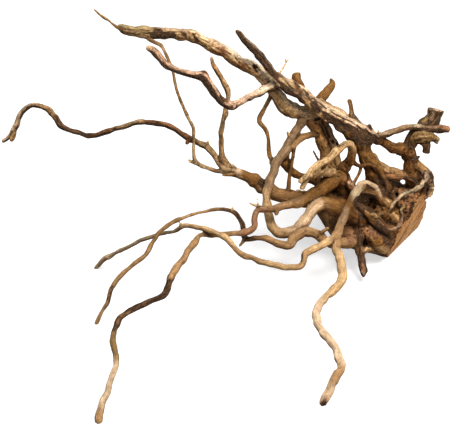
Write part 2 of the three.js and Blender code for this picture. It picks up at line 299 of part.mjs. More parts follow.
function faceOut(solid, geometry) {
  if (solid.volume() > 0) return solid;
  const index = geometry.index.array;
  for (let i = 0; i < index.length; i += 3) [index[i + 1], index[i + 2]] = [index[i + 2], index[i + 1]];
  return solidOf(geometry);
}

// A cube with one face centred on a point, to cut away the wood beyond that face.
function beyond(point, outward, size) {
  const box = new THREE.BoxGeometry(size, size, size);
  box.translate(0, 0, size / 2);
  const turn = new THREE.Quaternion().setFromUnitVectors(new THREE.Vector3(0, 0, 1), outward.clone().normalize());
  box.applyQuaternion(turn);
  box.translate(point.x, point.y, point.z);
  return solidOf(box);
}

// A direction given on the sheet, turned into the root's own frame.
function sheetWay(right, down, near) {
  const sightUp = new THREE.Vector3(0, Math.sin(EYE_TILT), Math.cos(EYE_TILT));
  const sightBack = new THREE.Vector3(0, Math.cos(EYE_TILT), -Math.sin(EYE_TILT));
  return new THREE.Vector3(right, 0, 0).addScaledVector(sightUp, -down).addScaledVector(sightBack, -near);
}

function fuse(runs, firstSeed) {
  return Object.values(runs).map((points, i) => limbSolid(points, firstSeed + 1.7 * i));
}

function spiderwoodRoot() {
  let wood = fuse(STUMP, 0.4).reduce((a, b) => a.add(b));
  for (const hollow of fuse(HOLLOWS, 2)) wood = wood.subtract(hollow);
  for (const limb of fuse(LIMBS, 0.9)) wood = wood.add(limb);
  for (const hollow of fuse(LATE_HOLLOWS, 3)) wood = wood.subtract(hollow);

  for (const cut of SAW_CUTS) {
    wood = wood.subtract(beyond(place(cut.through), sheetWay(cut.right, cut.down, cut.near), cut.reach));
  }
  wood = wood.subtract(beyond(new THREE.Vector3(0, 0, 0), new THREE.Vector3(0, 0, -1), TABLE_SIZE));
  return wood;
}

function geometryOf(solid) {
  const mesh = solid.getMesh();
  const geometry = new THREE.BufferGeometry();
  geometry.setAttribute("position", new THREE.BufferAttribute(new Float32Array(mesh.vertProperties), 3));
  geometry.setIndex(new THREE.BufferAttribute(new Uint32Array(mesh.triVerts), 1));
  return geometry;
}

const root = new THREE.Mesh(
  geometryOf(spiderwoodRoot()),
  new THREE.MeshStandardMaterial({ color: 0xb08a5e, roughness: 0.8, metalness: 0 }),
);
root.name = "spiderwood_root";

const part = new THREE.Group();
part.add(root);
export default part;
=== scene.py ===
import json
import math

import bpy
import numpy as np
from mathutils import Matrix, Vector, noise
from mathutils.bvhtree import BVHTree
from mathutils.geometry import interpolate_bezier

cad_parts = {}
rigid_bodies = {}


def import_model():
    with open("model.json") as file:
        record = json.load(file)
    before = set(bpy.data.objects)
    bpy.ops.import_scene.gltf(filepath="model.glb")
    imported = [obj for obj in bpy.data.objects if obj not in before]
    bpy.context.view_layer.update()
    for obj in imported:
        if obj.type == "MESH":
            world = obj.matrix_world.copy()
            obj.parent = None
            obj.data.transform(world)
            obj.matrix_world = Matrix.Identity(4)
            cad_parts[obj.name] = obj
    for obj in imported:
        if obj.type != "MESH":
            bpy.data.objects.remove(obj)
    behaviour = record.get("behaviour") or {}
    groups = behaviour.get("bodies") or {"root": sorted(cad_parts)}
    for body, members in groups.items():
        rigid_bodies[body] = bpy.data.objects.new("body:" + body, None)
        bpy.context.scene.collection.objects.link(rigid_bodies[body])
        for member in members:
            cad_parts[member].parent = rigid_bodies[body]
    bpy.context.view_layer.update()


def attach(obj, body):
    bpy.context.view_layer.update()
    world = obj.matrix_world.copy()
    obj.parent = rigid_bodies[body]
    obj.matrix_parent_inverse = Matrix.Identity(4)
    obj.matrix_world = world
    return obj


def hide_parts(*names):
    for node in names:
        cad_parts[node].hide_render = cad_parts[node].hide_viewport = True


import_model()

MM = 0.001

# How the root was measured: from in front and above, on an upright sheet through its middle.
# A point is (right, down, back) in millimetres: right and down on the sheet, and how far it lies behind it.
EYE_DISTANCE = 1600
EYE_TILT = math.radians(32)
SHEET_RIGHT = 230
SHEET_DOWN = 212.5
SHEET_HEIGHT = 68.3
STAND_X = 9.87
STAND_Y = 41.403

# The saw cut that freed the stump: a plane through a point of the sheet, and the way it faces.
SAW_POINT = (411.8, 216, 60)
SAW_FACING = (0.85, 0.49, 0.34)
SAW_REACH = 0.2
SAW_EDGE = ((422, 194), (417, 199), (413, 205), (411, 215), (404, 222), (398, 232), (394, 243), (389, 254))

STUMP_GRAIN = 1.2
JOINED_GRAIN = 1
FINE_GRAIN = 0.8
FACES_KEPT = 196000
TABLE_SIZE = 1.2
SPOTS_AT_ONCE = 8000

# Relief, in millimetres. Flutes, lumps and knobs are shares of a limb's thickness.
FLUTE = 0.11
LUMP = 0.11
KNOB = 0.1
RIDGE = 0.32
CRACK = 0.9
SCAR = 0.8
CRUMB = 1.0
SAW_MARK = 0.22
KNOT_RING = 0.5
SWELL = 0.5

# How quickly the relief changes across a limb, across it the other way, and along it.
ROUND_SCALE = (1.2, 1.2, 0)
FLUTE_SCALE = (0, 0, 0.035)
KNOB_SCALE = (0, 0, 0.13)
RIDGE_SCALE = (0.8, 0.8, 0.1)
CRACK_SCALE = (0.42, 0.42, 0.04)
SAW_MARK_SCALE = (0.05, 0.7, 0)
LIMB_SHIFT = (3.1, 1.7, 5.3)

# A limb's tip runs on past its last point: how far, and how thick it ends, as shares of its radius there.
TIP_LENGTH = 0.7
TIP_WIDTH = 0.4

# Shelter: how far, in metres, and which ways wood is looked for that hides the sky; the hidden share
# darkens the colour as painted shade.
SHELTER_REACH = 0.05
SKY_WAYS = ((0, 0, 1), (0.8, 0, 0.6), (-0.8, 0, 0.6), (0, -0.8, 0.6), (0, 0.8, 0.6), (0, -1, 0.1))

# How limbs stray from their traced lines, in millimetres, and how much they swell and narrow.
GNARL_STEP = 5
GNARL_LENGTH = 9
GNARL_STRAY = 1.3
GNARL_SWELL = 0.3

# The wood's finishes: red, green and blue out of 255, and how much of it bark still covers, from 0 to 1.
FINISHES = {
    "tan": (200, 160, 110, 0.16),
    "pale": (216, 180, 140, 0.08),
    "orange": (206, 150, 92, 0.1),
    "honey": (168, 128, 84, 0.18),
    "brown": (154, 114, 70, 0.26),
    "hazel": (128, 88, 44, 0.26),
    "amber": (112, 74, 36, 0.26),
    "russet": (146, 98, 62, 0.34),
    "umber": (138, 94, 60, 0.5),
    "bark": (124, 90, 62, 0.6),
    "black": (70, 50, 38, 1.0),
    "olive": (160, 134, 90, 0.24),
    "grey": (180, 154, 118, 0.18),
    "drift": (156, 128, 102, 0.22),
    "clay": (146, 104, 72, 0.16),
    "moss": (98, 78, 52, 0.42),
    "straw": (142, 110, 66, 0.24),
    "pink": (218, 176, 142, 0.08),
    "crumb": (148, 102, 64, 0.24),
    "ash": (126, 106, 88, 0.3),
    "dun": (138, 108, 76, 0.2),
    # A lit pale, laid where the wood lies in shadow: painted light.
    "painted_lit_pale": (250, 220, 178, 0.02),
}
# Painted shade and light: what undersides and wood hidden from the sky keep of their red, green and blue as
# painted shade, and what tops gain as a painted highlight.
UNDERSIDE_SHADE_TINT = (0.78, 0.64, 0.48)
SHELTER_SHADE_TINT = (0.6, 0.52, 0.42)
TOP_HIGHLIGHT_GAIN = (0.06, 0.1, 0.2)

BARK_BROWN = (96, 68, 44)
BARK_BLACK = (32, 25, 19)
SAWN_DARK = (138, 82, 40)
SAWN_PALE = (236, 184, 120)
SAWN_GOLD = (224, 148, 76)
SAWN_END = (206, 172, 146)

# What counts as sawn: wood this near to the cut, in millimetres, that faces out of it. The ends of limbs
# have their own measures.
CUT_DEPTH = 0.9
CUT_FACING = 0.8
END_DEPTH = 0.8
END_SIZE = 12

# Limbs, each from where it grows out to its tip: (right, down, back, radius).
LIMBS = {
    "high_limb": [(316, 117, 42, 8.5), (308, 113, 38, 8), (299, 112, 36, 7), (290, 109, 34, 7.6),
        (283, 103, 31, 7.2), (276, 94, 28, 6.6), (270, 84, 26, 7), (262, 74.5, 24, 7.2),
        (251, 67.5, 23, 6.6), (240, 62, 22, 6), (230, 55, 22, 5.5), (220, 48.5, 21, 5.4),
        (210, 44, 21, 5.5), (200, 38.8, 20, 6), (190, 35, 20, 5.5), (180, 33.8, 20, 5.7),
        (170, 33, 20, 5.5), (160, 32.7, 20, 5.8), (150, 32.4, 20, 6), (140, 31.6, 20, 5.5),
        (130, 30.2, 20, 4.5), (120, 26.6, 20, 3.1)],
    "high_twig": [(126, 30.5, 19, 2.2), (121, 28.6, 17, 1.6), (116, 26, 15, 1.2), (112, 23.3, 13, 1),
        (109, 20.4, 12, 1), (105.5, 18, 10, 1), (101, 15, 8, 0.9), (97, 11.8, 6, 0.9),
        (92.5, 6.5, 4, 0.8)],
    "knuckle_limb": [(279, 84.5, 20, 2.6), (273, 85.5, 19, 3.6), (267, 88, 17, 4.3), (261, 91, 12, 3.8),
        (253, 95, 6, 3.5), (245, 98.5, 1, 3.5), (238, 101.5, -3, 3.6), (232, 104.3, -6, 4.2),
        (226, 102.6, -9, 4.2), (220, 99.3, -12, 4.4), (216, 94, -14, 4), (212, 87.3, -17, 4.1),
        (208, 81.5, -20, 4.4), (203, 75.8, -23, 5), (197, 75.3, -26, 3.8), (190, 74, -29, 3.2),
        (182, 71.4, -32, 3), (174, 68, -35, 3), (167, 64.4, -38, 3.2), (161, 59.4, -41, 3.2),
        (157, 54, -44, 3.3), (152.5, 49.5, -47, 3.1), (148.5, 47.6, -50, 2.6)],
    "far_left_root": [(233, 171, 30, 4), (226, 168.3, 30, 3.8), (221, 164.5, 31, 3.3),
        (217.5, 159.5, 32, 3), (214, 153.8, 33, 3), (210, 148.6, 34, 3.1), (205, 145, 36, 2.7),
        (198, 142.4, 38, 2.4), (191, 138.8, 41, 2.9), (185, 135.4, 43, 2.8), (178, 131.2, 46, 2.7),
        (170, 126.6, 49, 2.7), (162, 123.3, 52, 2.6), (153, 121.7, 56, 2.5), (145, 121.7, 59, 2.5),
        (137, 122.2, 62, 2.3), (129, 124.2, 65, 2.2), (121, 127.3, 68, 2.1), (113, 128.7, 71, 2.3),
        (105, 131.5, 74, 2.3), (97, 134.4, 77, 2.3), (88.5, 135.2, 80, 2.6), (82, 133.6, 82, 2.2),
        (75, 131, 85, 2.1), (68, 129, 87, 2.4), (62, 126.3, 89, 2.7), (58, 121, 91, 2.8),
        (54, 115, 94, 2.7), (49.5, 109.3, 97, 3), (44, 107.2, 99, 2.3), (37, 105, 102, 2.2),
        (30, 105, 104, 2.2), (24.5, 108, 107, 2.5), (20, 115, 110, 2.6), (16, 125, 113, 2.8),
        (12.3, 133.5, 116, 2.6), (8, 137.2, 118, 1.9), (3, 140.6, 120, 1.7)],
    "far_left_stub": [(14.5, 129, 114, 2), (13, 134, 112, 2.6), (12, 139.5, 110, 2.4)],
    "far_left_nub": [(191, 138, 41, 2), (188.5, 140.5, 38, 2), (186.7, 143, 35, 1.7)],
    "far_left_thorn": [(204, 145, 36, 2), (207, 143.2, 34, 1.7), (208.3, 141.2, 32, 1.1)],
    "hanging_twig": [(145, 34, 20, 2.5), (149, 38.5, 18, 1.9), (155, 41.6, 16, 1.6), (161, 45, 14, 1.6),
        (165, 51.5, 12, 1.3), (168.3, 58.5, 11, 1.3), (172, 68, 10, 1.4), (174, 77, 10, 1.3),
        (176, 87, 10, 1.3), (180, 99, 11, 1.3), (184.3, 109, 13, 1.3), (189, 118.7, 15, 1.4),
        (193.2, 127, 18, 1.7), (193.6, 137, 21, 1.5), (193.5, 148, 24, 1.6), (194, 157, 26, 1.8),
        (197.5, 162.7, 27, 2), (203, 165.8, 28, 1.9), (210, 168.6, 29, 1.8), (217, 170.4, 30, 2),
        (226, 171, 30, 2.8)],
    "hanging_twig_stub": [(197, 163, 27, 1.8), (192.5, 161.8, 26, 1.5), (189, 159.8, 25, 1.2)],
    "leaning_limb": [(232, 171, 31, 4), (226, 163.5, 30, 3.2), (222.7, 157, 29, 2.8),
        (221.6, 150, 27, 2.6), (221.3, 143, 26, 2.6), (220.5, 135.5, 24, 2.4), (221.9, 128, 22, 2.1),
        (223.5, 120, 20, 2.2), (225, 113, 18, 2.4), (225.6, 108, 17, 2.2), (227.3, 101.5, 15, 2.2),
        (228.7, 95.5, 13, 2.3), (228, 90, 12, 2.4), (224.3, 84, 10, 2.3), (221, 77.5, 8, 2.3),
        (216.8, 70.5, 5, 2), (213, 64, 3, 1.9), (211, 57, 1, 1.4)],
    "left_trunk": [(350, 200, 50, 13), (337, 199, 44, 12), (322, 199.5, 36, 10), (308, 199, 31, 8),
        (296, 197.5, 29, 7), (285, 195.5, 29, 7), (274, 192, 30, 7.2), (263, 186, 30, 7.2),
        (254, 180.5, 30, 6.5), (245, 175.3, 30, 5.9), (237, 172, 30, 4.6), (229, 170.3, 30, 3.7),
        (221, 171, 30, 2)],
    "left_trunk_splinter": [(238, 173, 28, 2.6), (230, 174, 26, 1.9), (223, 174.8, 25, 1.4)],
    "left_trunk_thorn": [(235.5, 168.5, 28, 1.6), (233.5, 165.5, 27, 1.1), (232, 162, 26, 0.7)],
    "arch_root": [(366, 219, 40, 14), (354, 213.5, 24, 10), (343, 209, 15, 8.6), (333, 205.5, 9, 7.6),
        (324.5, 203, 5, 6.6), (316.5, 205.3, 2, 6.3), (310.5, 211.5, 0, 6), (306, 219, 0, 5.8),
        (300, 226, 1, 5.1), (293, 230.8, 3, 4.8), (285, 233.3, 5, 5.2), (277, 231, 6, 5.4),
        (272, 225, 6, 5.2), (269.6, 217, 6, 4.7), (268, 208, 6, 4.3), (266.6, 200, 7, 4.2),
        (266.4, 192, 8, 4.3), (269, 184, 10, 4.4), (271.7, 176, 12, 4.2), (274.7, 168, 15, 4.1),
        (278, 160, 18, 4.5), (282, 154, 21, 5), (287, 148, 25, 4.9), (290.3, 141, 29, 4.6),
        (294.2, 134, 32, 4.3), (299, 126, 35, 4.1), (305, 117, 38, 4.6)],
    "crooked_twig": [(276, 89, 27, 3), (272.5, 93, 28, 2.2), (269, 99, 29, 1.9), (265, 106, 30, 2),
        (262, 112, 30, 2.2), (259, 117.7, 30, 2.6), (259.7, 122, 29, 2.3), (263.6, 126, 28, 2),
        (266.6, 131, 27, 2), (268, 138, 26, 1.9), (268.3, 146, 25, 1.9), (268.9, 153, 23, 2.1),
        (272, 159, 20, 2.2), (277, 163, 17, 2)],
    "crooked_twig_thorn": [(271.5, 158, 20, 1.8), (269.6, 163, 17, 1)],
    "cross_branch": [(322, 132, 46, 4), (315, 133.3, 41, 3.3), (308, 135, 36, 3.2), (301, 137.8, 31, 3.1),
        (296, 141.4, 28, 3.2), (292, 147, 25, 3.2)],
    "arch_thorn": [(291, 137, 29, 2.2), (288, 133.5, 26, 1.4), (287, 130.7, 24, 0.9)],
    "stay_twig": [(295, 142, 27, 2.2), (294, 148, 26, 1.8), (293, 156, 26, 1.7), (291.5, 164, 26, 1.8),
        (290, 173, 26, 1.8), (288.8, 182, 25, 1.8), (288, 190, 25, 2.1), (287.5, 196, 26, 2.4)],
    "inner_branch": [(336, 190, 44, 6), (324, 185, 41, 4.6), (313, 180.5, 38, 4), (304, 176.6, 36, 3.9),
        (296, 173, 34, 4), (288.5, 168.5, 32, 4), (285, 162, 29, 4.6), (284, 154, 25, 5)],
    "left_strand": [(340, 192, 44, 12), (333, 180, 46, 9.5), (329, 170, 47, 7), (327, 160, 48, 6),
        (325, 150, 48, 5.8), (322, 140, 47, 5.6), (318, 130, 45, 5.8), (312, 120, 41, 6.5),
        (305, 113, 37, 6.5)],
    "right_strand": [(344, 186, 52, 9), (340, 174, 52, 6), (337, 165, 52, 4.6), (336, 156, 51, 4.4),
        (334.5, 147, 50, 4.6), (331, 138.5, 48, 4.4), (327, 130, 46, 4.2), (322.5, 121, 42, 5),
        (318, 113, 36, 6)],
    "dark_limb": [(371, 138.5, 34, 6), (364, 138, 32, 9.4), (357, 134, 30, 9.8), (349, 128, 28, 8),
        (340, 122.3, 26, 7), (330, 116.5, 23, 6.4), (320, 110.5, 20, 6), (311, 103, 18, 5),
        (303, 97.6, 16, 4.2), (295, 93, 14, 3.7), (287.5, 89.5, 12, 3.9), (281, 83, 10, 3.7),
        (274.5, 75, 9, 3.7), (268.5, 67, 7, 3.9), (262.5, 59, 5, 4), (256, 52, 3, 3.6),
        (249.5, 44.3, 1, 3.3), (243, 37.5, -1, 3.1), (237.3, 31, -3, 2.6)],
    "light_strand": [(375, 137, 34, 3.5), (370, 131.5, 30, 4.4), (362, 127.5, 27, 4.8),
        (353, 124, 25, 4.6), (343, 118.5, 23, 4.4), (332, 112.3, 21, 4), (322, 105.7, 19, 3.8),
        (313, 98.7, 18, 3.8), (305, 93, 17, 4.2), (297, 88, 16, 4.2), (289.5, 82.5, 15, 4),
        (283, 78, 13, 2.8), (278, 73, 11, 2)],
    "hump_strand": [(358, 125, 34, 4.5), (352, 120.5, 33, 4.2), (346, 116.6, 33, 4), (339, 112.7, 33, 4.1),
        (331.5, 109, 33, 3.9), (325, 104.6, 33, 4.2), (319, 101, 31, 4.2)],
    "horn_stub": [(317, 102, 32, 4), (321, 97.5, 35, 4.3), (326, 92.8, 38, 4.5), (330.3, 87.7, 41, 4.4),
        (332, 83, 43, 3.2), (330.4, 78.3, 44, 1.2)],
    "thumb_stub": [(307, 99, 22, 5.5), (303, 92, 25, 5), (299, 84.5, 28, 4.8), (296.5, 78.5, 31, 4.6),
        (296, 73.6, 33, 4)],
    "fine_twig": [(277, 76, 11, 1.4), (280.5, 70.8, 14, 1), (284.5, 65, 16, 0.9), (288.3, 59.2, 18, 0.9),
        (291, 58.3, 19, 0.8)],
    "fine_twig_prong": [(286.2, 63, 17, 0.8), (285.5, 60.5, 16, 0.8), (285.2, 58, 15, 0.7)],
    "finger_stub": [(353, 122, 32, 3.2), (352, 116, 31, 2.3), (351.3, 110, 31, 1.8),
        (350.4, 104.5, 30, 1.8), (349, 100, 29, 2)],
    "bark_strap": [(350.5, 112, 34, 1.6), (354.5, 117.5, 34, 1.9), (360, 123, 33, 1.8),
        (367, 128, 32, 2.2)],
    "knot_wart": [(366, 133, 28, 3.4), (369.5, 128.5, 26, 2.4), (369.8, 124.8, 25, 1.6)],
    "right_limb": [(366, 140, 34, 4.4), (373, 137.6, 34, 3.1), (380, 135.2, 35, 3.1), (387, 133, 36, 3.2),
        (394, 130.5, 37, 2.9), (402, 128.6, 39, 2.8), (410, 127, 41, 2.7), (418, 126.9, 43, 3.1),
        (426, 128, 43, 3.5), (434, 128.4, 43, 3.6), (442, 128.8, 43, 3.5), (449.3, 129.2, 43, 3.3)],
    "right_limb_thorn": [(380, 134.5, 34, 1.5), (378.5, 131.4, 32, 1), (377.3, 128.4, 31, 0.8)],
    "right_trunk": [(421, 204, 66, 16), (418, 192, 64, 12.5), (415, 181, 61, 9.5), (412.5, 171, 59, 8.2),
        (411, 161, 57, 7.7), (408.5, 154, 55, 7.6), (403, 149.6, 52, 6.8), (396, 148.2, 48, 5.4),
        (389, 145.2, 44, 4.7), (382, 141.5, 40, 4.3), (373, 138.5, 35, 4.4)],
    "sawn_arm": [(406, 152, 54, 6.4), (409.5, 144, 53, 6), (414.5, 136.5, 52, 6.6), (421, 129, 51, 7.8),
        (428.5, 122, 51, 8.5), (433.7, 115.5, 52, 7.9), (437, 108.5, 53, 7.2), (439.5, 102, 54, 7)],
    "burr": [(413, 140, 50, 5), (418, 137.6, 47, 7.4), (424, 137, 46, 6.6), (430, 137, 45, 4.8),
        (435, 138, 44.5, 3.6), (438.3, 138.4, 44, 2)],
    "burr_tooth": [(433, 138, 44, 3), (436.3, 141, 44, 2.2), (436.8, 144, 43, 0.9)],
    "burr_leg": [(422, 139, 48, 5), (426, 144, 48, 4.4), (426.5, 148.5, 49, 3.4), (426.2, 152.2, 50, 3.8)],
    "crown_flange": [(412, 158, 54, 5), (417.2, 163.8, 53, 4), (421.2, 167.8, 53, 4), (425.5, 171, 53, 4),
        (430, 176.5, 54, 4.5)],
    "right_trunk_thorn": [(413, 160.5, 50, 2.4), (416.8, 158, 48, 1.6), (419.6, 155.7, 47, 0.9)],
    "neck": [(361, 139, 32, 9), (363, 147, 34, 8), (367, 157, 37, 8), (371.5, 167, 41, 7.8),
        (376.5, 177, 44, 8.2), (382, 188, 48, 9), (389, 200, 54, 12)],
    "shoulder_root": [(371, 155.5, 44, 5), (378, 166, 50, 6), (388, 172, 54, 6.2), (397, 174.6, 57, 5.6),
        (406, 176, 59, 6), (415, 180, 61, 7)],
    "loop_root": [(383, 179, 46, 6), (391, 177.2, 44, 3.8), (399, 177.6, 43, 2.3), (406, 176.6, 43, 2.2),
        (412.5, 179, 44, 2.3), (417.5, 184.5, 46, 2.5), (417, 191, 50, 3)],
    "ridge_root": [(353, 161, 18, 2.2), (357, 164.3, 21, 1.8), (362, 165.3, 24, 1.5), (368, 164, 27, 1.6),
        (374, 166.3, 30, 2), (379.5, 172, 33, 2.2), (384, 179.5, 36, 2.4), (387.5, 188, 41, 2.8),
        (389, 197, 46, 3.5)],
    "stay_thread": [(361, 164.5, 24, 1.6), (360.3, 170, 24, 1.3), (358, 175.5, 23, 1.3),
        (355, 180, 21, 1.4), (352, 185, 19, 1.8)],
    "long_left_root": [(347.5, 194, 42, 9), (341.5, 185, 34, 8.5), (337.5, 178, 26, 8),
        (331, 180.5, 18, 8.2), (323, 187.3, 12, 7.6), (314, 193.6, 6, 6.2), (305, 198.6, 1, 5.1),
        (296, 202.2, -3, 4.6), (287, 205, -6, 3.8), (278, 207.3, -8, 3.6), (270, 208.4, -10, 3.2),
        (262, 208.8, -13, 2.9), (257.3, 210, -15, 2.7), (255, 214.5, -17, 2.7), (255, 220, -19, 2.7),
        (254.4, 225.6, -22, 2.7), (250.5, 230, -25, 2.9), (244, 232, -28, 2.9), (236, 232.7, -31, 2.6),
        (228, 233.3, -34, 2.5), (220, 234.3, -36, 2.4), (212, 235, -38, 2.2), (204, 234.4, -40, 2),
        (199.3, 235.3, -42, 2.4), (195.5, 240.5, -45, 3.1), (191, 247, -49, 3.3), (185.5, 255, -54, 3.2),
        (180, 263, -59, 3.2), (175, 270, -64, 3.7), (170, 277, -68, 3.5), (168, 284, -72, 3),
        (166.6, 291, -76, 3), (163.3, 295.6, -80, 2.9), (157, 297.6, -83, 2.9), (150, 300.2, -86, 2.9),
        (142, 304.3, -90, 2.8), (134, 308.2, -94, 2.8), (127, 312.5, -98, 2.6), (120, 317.5, -103, 2.8),
        (116.5, 324, -107, 2.6), (114, 332, -112, 2.6), (112.5, 341, -117, 2.8), (113.8, 348, -122, 2.7),
        (116.4, 356, -127, 2.8), (116.5, 364, -132, 2.8), (113.6, 372, -137, 2.8), (110.5, 381, -143, 2.7),
        (107.4, 390, -149, 2.8), (103.6, 400, -156, 2.9), (100.5, 409, -162, 3.4), (99, 416.5, -167, 3.9),
        (98.5, 421.5, -170, 3.6)],
    "long_left_spike": [(266, 207.5, -12, 2), (259, 206, -15, 1.3), (254, 204.4, -17, 1.1),
        (249, 202.3, -19, 0.7)],
    "long_left_thorn": [(258.5, 207, -15, 1.3), (258, 202.5, -16, 1), (257, 198, -17, 0.7)],
    "long_left_nub": [(276, 208, -9, 2.2), (277, 211, -10, 2.3), (277, 213.3, -10, 1.8)],
    "low_root": [(354, 239, 26, 7), (343, 243, 6, 5), (334, 244, -3, 3.6), (328, 242.5, -7, 3.6),
        (322.5, 238, -8, 4.4), (316, 233.3, -8, 4.6), (308, 230.6, -8, 4.8), (300, 233, -9, 5.1),
        (294, 238, -11, 4.6), (288.5, 244.5, -14, 4.3), (281.5, 244.3, -16, 3.3), (274, 241, -16, 3),
        (266, 238, -15, 2.9), (258, 237.7, -14, 2.6), (250, 238.8, -13, 2.5), (245, 236.8, -13, 2.6),
        (243.8, 230, -14, 2.7), (243, 224.5, -15, 2.5), (239.3, 218, -15, 2.3), (235.6, 213, -15, 2.3),
        (231, 210.2, -15, 2), (224, 208.8, -16, 1.7), (216, 208.7, -17, 1.7), (208, 210.4, -18, 1.5),
        (200, 212, -20, 1.4), (192, 214, -22, 1.4), (184, 217, -24, 1.5), (177, 219.6, -26, 1.8),
        (170, 223.5, -28, 1.8), (163, 228.5, -30, 1.9), (157.5, 234, -31, 2), (153, 241, -32, 2),
        (149.5, 248, -33, 2), (146, 254.5, -34, 2.1), (141, 258.2, -35, 2), (135.5, 262, -36, 2),
        (128, 268.2, -37, 2), (121, 275, -38, 2), (115.5, 281, -39, 2), (111.5, 288, -40, 2),
        (109.3, 296, -41, 1.9), (107.7, 302.5, -42, 1.9), (103, 309.5, -42, 1.8), (99.5, 316, -43, 1.8),
        (96, 323.5, -43, 1.7)],
    "low_root_stub": [(246, 238, -13, 2), (243, 241, -14, 1.5), (240, 245.3, -15, 1.2)],
    "low_root_snag": [(319, 236, -10, 2.6), (322.5, 231.5, -12, 1.9), (328, 227.8, -14, 1.6)],
    "low_root_thorn": [(232, 210, -16, 1.1), (233.2, 205.6, -17, 0.7)],
    "front_root": [(392, 205, 48, 6), (386.5, 198.5, 41, 4), (381, 191, 34, 3.2), (374, 186.6, 28, 3),
        (367.5, 184, 22, 3.4), (362, 185.6, 16, 4), (358, 190, 11, 4), (353.5, 197, 6, 3.8),
        (349.3, 204, 1, 3.9), (346, 211, -4, 3.8), (343.3, 218, -9, 3.9), (340.5, 225, -14, 4),
        (337.8, 232, -19, 4.4), (336, 239, -24, 4.4), (336.5, 247, -29, 4), (338.5, 255, -35, 4.1),
        (341, 262.5, -42, 4.3), (342.3, 270, -49, 4.4), (342, 278, -56, 4.3), (338.7, 285, -63, 4.3),
        (332.5, 290.6, -69, 4), (326.5, 296, -75, 3.9), (321, 302, -81, 3.9), (317, 308.5, -87, 3.9),
        (315.7, 315, -93, 3.9), (317.5, 322, -99, 3.8), (321, 329, -105, 3.6), (326, 335.6, -111, 3.5),
        (331.5, 342, -117, 3.6), (336, 349.5, -123, 3.7), (338.6, 357, -129, 4.2), (341, 364.5, -134, 4),
        (340, 370.5, -138, 4.1), (335.6, 377, -141, 4), (331.7, 384, -143.5, 3.9),
        (329.4, 390.5, -145.5, 3.9), (326, 396.5, -147, 4.1), (323.5, 401.5, -148.5, 3.9),
        (323, 404.5, -150, 2.9)],
    "floor_root": [(337, 234, -21, 4.6), (333, 239, -26, 4), (326, 242.5, -30, 3.7),
        (318, 246.2, -33, 3.6), (310, 250.3, -36, 3.4), (305, 253.8, -38, 3.2), (303.7, 260, -40, 2.8),
        (301.5, 265.3, -42, 3.2), (295, 267, -44, 2.9), (287, 266.8, -46, 2.8), (278, 265.3, -48, 2.8),
        (268, 263, -49, 2.7), (259, 260.6, -50, 2.6), (251, 257.4, -51, 3), (244.5, 255.5, -51, 3),
        (239, 252, -51, 2.9), (234, 246.5, -50, 2.6), (229.3, 241, -49, 2.6), (223, 235.8, -48, 2.7),
        (216, 232, -46, 2.4), (208, 229.3, -43, 2.3), (200, 227.2, -39, 2.2), (191.5, 226, -34, 2),
        (184, 224.6, -30, 2), (180.5, 226.2, -27, 2), (176.5, 229.4, -23, 1.8), (170, 231.6, -19, 1.5),
        (163, 232.8, -15, 1.6), (156, 235, -11, 1.9), (148, 237.4, -6, 1.9), (140, 240, -1, 2),
        (132, 244.5, 5, 2), (124, 248.6, 11, 1.9), (116, 251.8, 18, 1.8), (109, 256, 25, 2.4),
        (103.3, 260, 31, 2.3), (99, 264.4, 36, 2.1), (95.5, 267.3, 39, 1.6)],
    "floor_root_snag": [(181.5, 225.5, -27, 1.5), (179, 221.5, -26, 1)],
    "hooked_limb": [(337.5, 177, 31, 7.6), (342.3, 169.5, 26, 5.8), (348, 163, 20, 5.2),
        (351.6, 156, 14, 4.3), (352, 149, 8, 4.2), (350.2, 143.2, 3, 4), (345, 144, -2, 3.6),
        (339, 149, -7, 3.7), (332, 155, -12, 3.8), (325, 161, -16, 3.7), (318, 166, -20, 3.6),
        (312, 170.5, -23, 3.4), (308.6, 174, -25, 2.8), (304.3, 178, -27, 1.9), (299.3, 181, -29, 1.7)],
    "web_knob": [(333, 172, 16, 4.4), (326, 171.5, 6, 3.8), (320, 174, 0, 3), (314.5, 175.5, -6, 2.2)],
    "hooked_limb_prong": [(311, 172, -23, 2.6), (308, 177, -23, 2), (304.5, 182.5, -24, 1.8),
        (301, 188, -25, 1.5)],
    "hooked_limb_wart": [(313, 170, -22, 2.4), (312, 174, -24, 2), (311, 177, -25, 1.4)],
    "spare_prop": [(320, 190, 20, 4), (318.3, 182, 14, 3.4), (318.5, 174, 8, 3.2), (322, 166, 0, 2.8),
        (325, 162, -12, 2.6)],
    "stray_thorn": [(322, 165, 2, 2), (319, 161, 0, 1.4), (316, 155.5, -3, 1.2), (313.5, 150.3, -6, 0.8)],
    "needle_thorn": [(308, 196, 6, 1.6), (304, 192.5, 4, 1.1), (299.5, 190.5, 2, 1), (294, 189.3, 0, 0.7)],
    "rough_strand": [(344, 172, 34, 4), (346.5, 178, 30, 3.8), (350, 184, 24, 3.8), (354, 188.5, 20, 3.6),
        (358, 194, 22, 3.4), (356, 203, 28, 5)],
    "brow_root": [(360, 189.5, 17, 3.6), (367.5, 191.3, 24, 4.2), (375, 194, 29, 4.4), (381, 199, 34, 5.5),
        (388, 206, 40, 8)],
    "apron_limb": [(352, 203, 22, 4), (359, 206.5, 20, 4.2), (366, 212, 19, 4.8), (373, 218.5, 21, 5.4),
        (380, 224.5, 25, 6), (386, 229, 30, 6.5), (393, 233, 38, 8)],
    "surface_root": [(429, 171.5, 51, 2.8), (426.5, 177, 44, 3.2), (422, 184, 40, 2.8),
        (414, 190, 37, 2.3), (406, 193, 33.5, 1.8), (399.5, 196.6, 31, 1.7), (394.5, 203, 28, 1.8),
        (391, 208.5, 24, 1.5), (387.3, 214.6, 20, 1)],
    "rim_root": [(404, 205, 34.5, 2), (401, 210, 34, 1.5), (402, 216, 37, 1.5), (402.3, 221.5, 37.6, 1.6),
        (397.5, 226.6, 34.4, 1.7), (391.5, 229.5, 28.4, 1.5), (386, 232, 24.6, 1.3)],
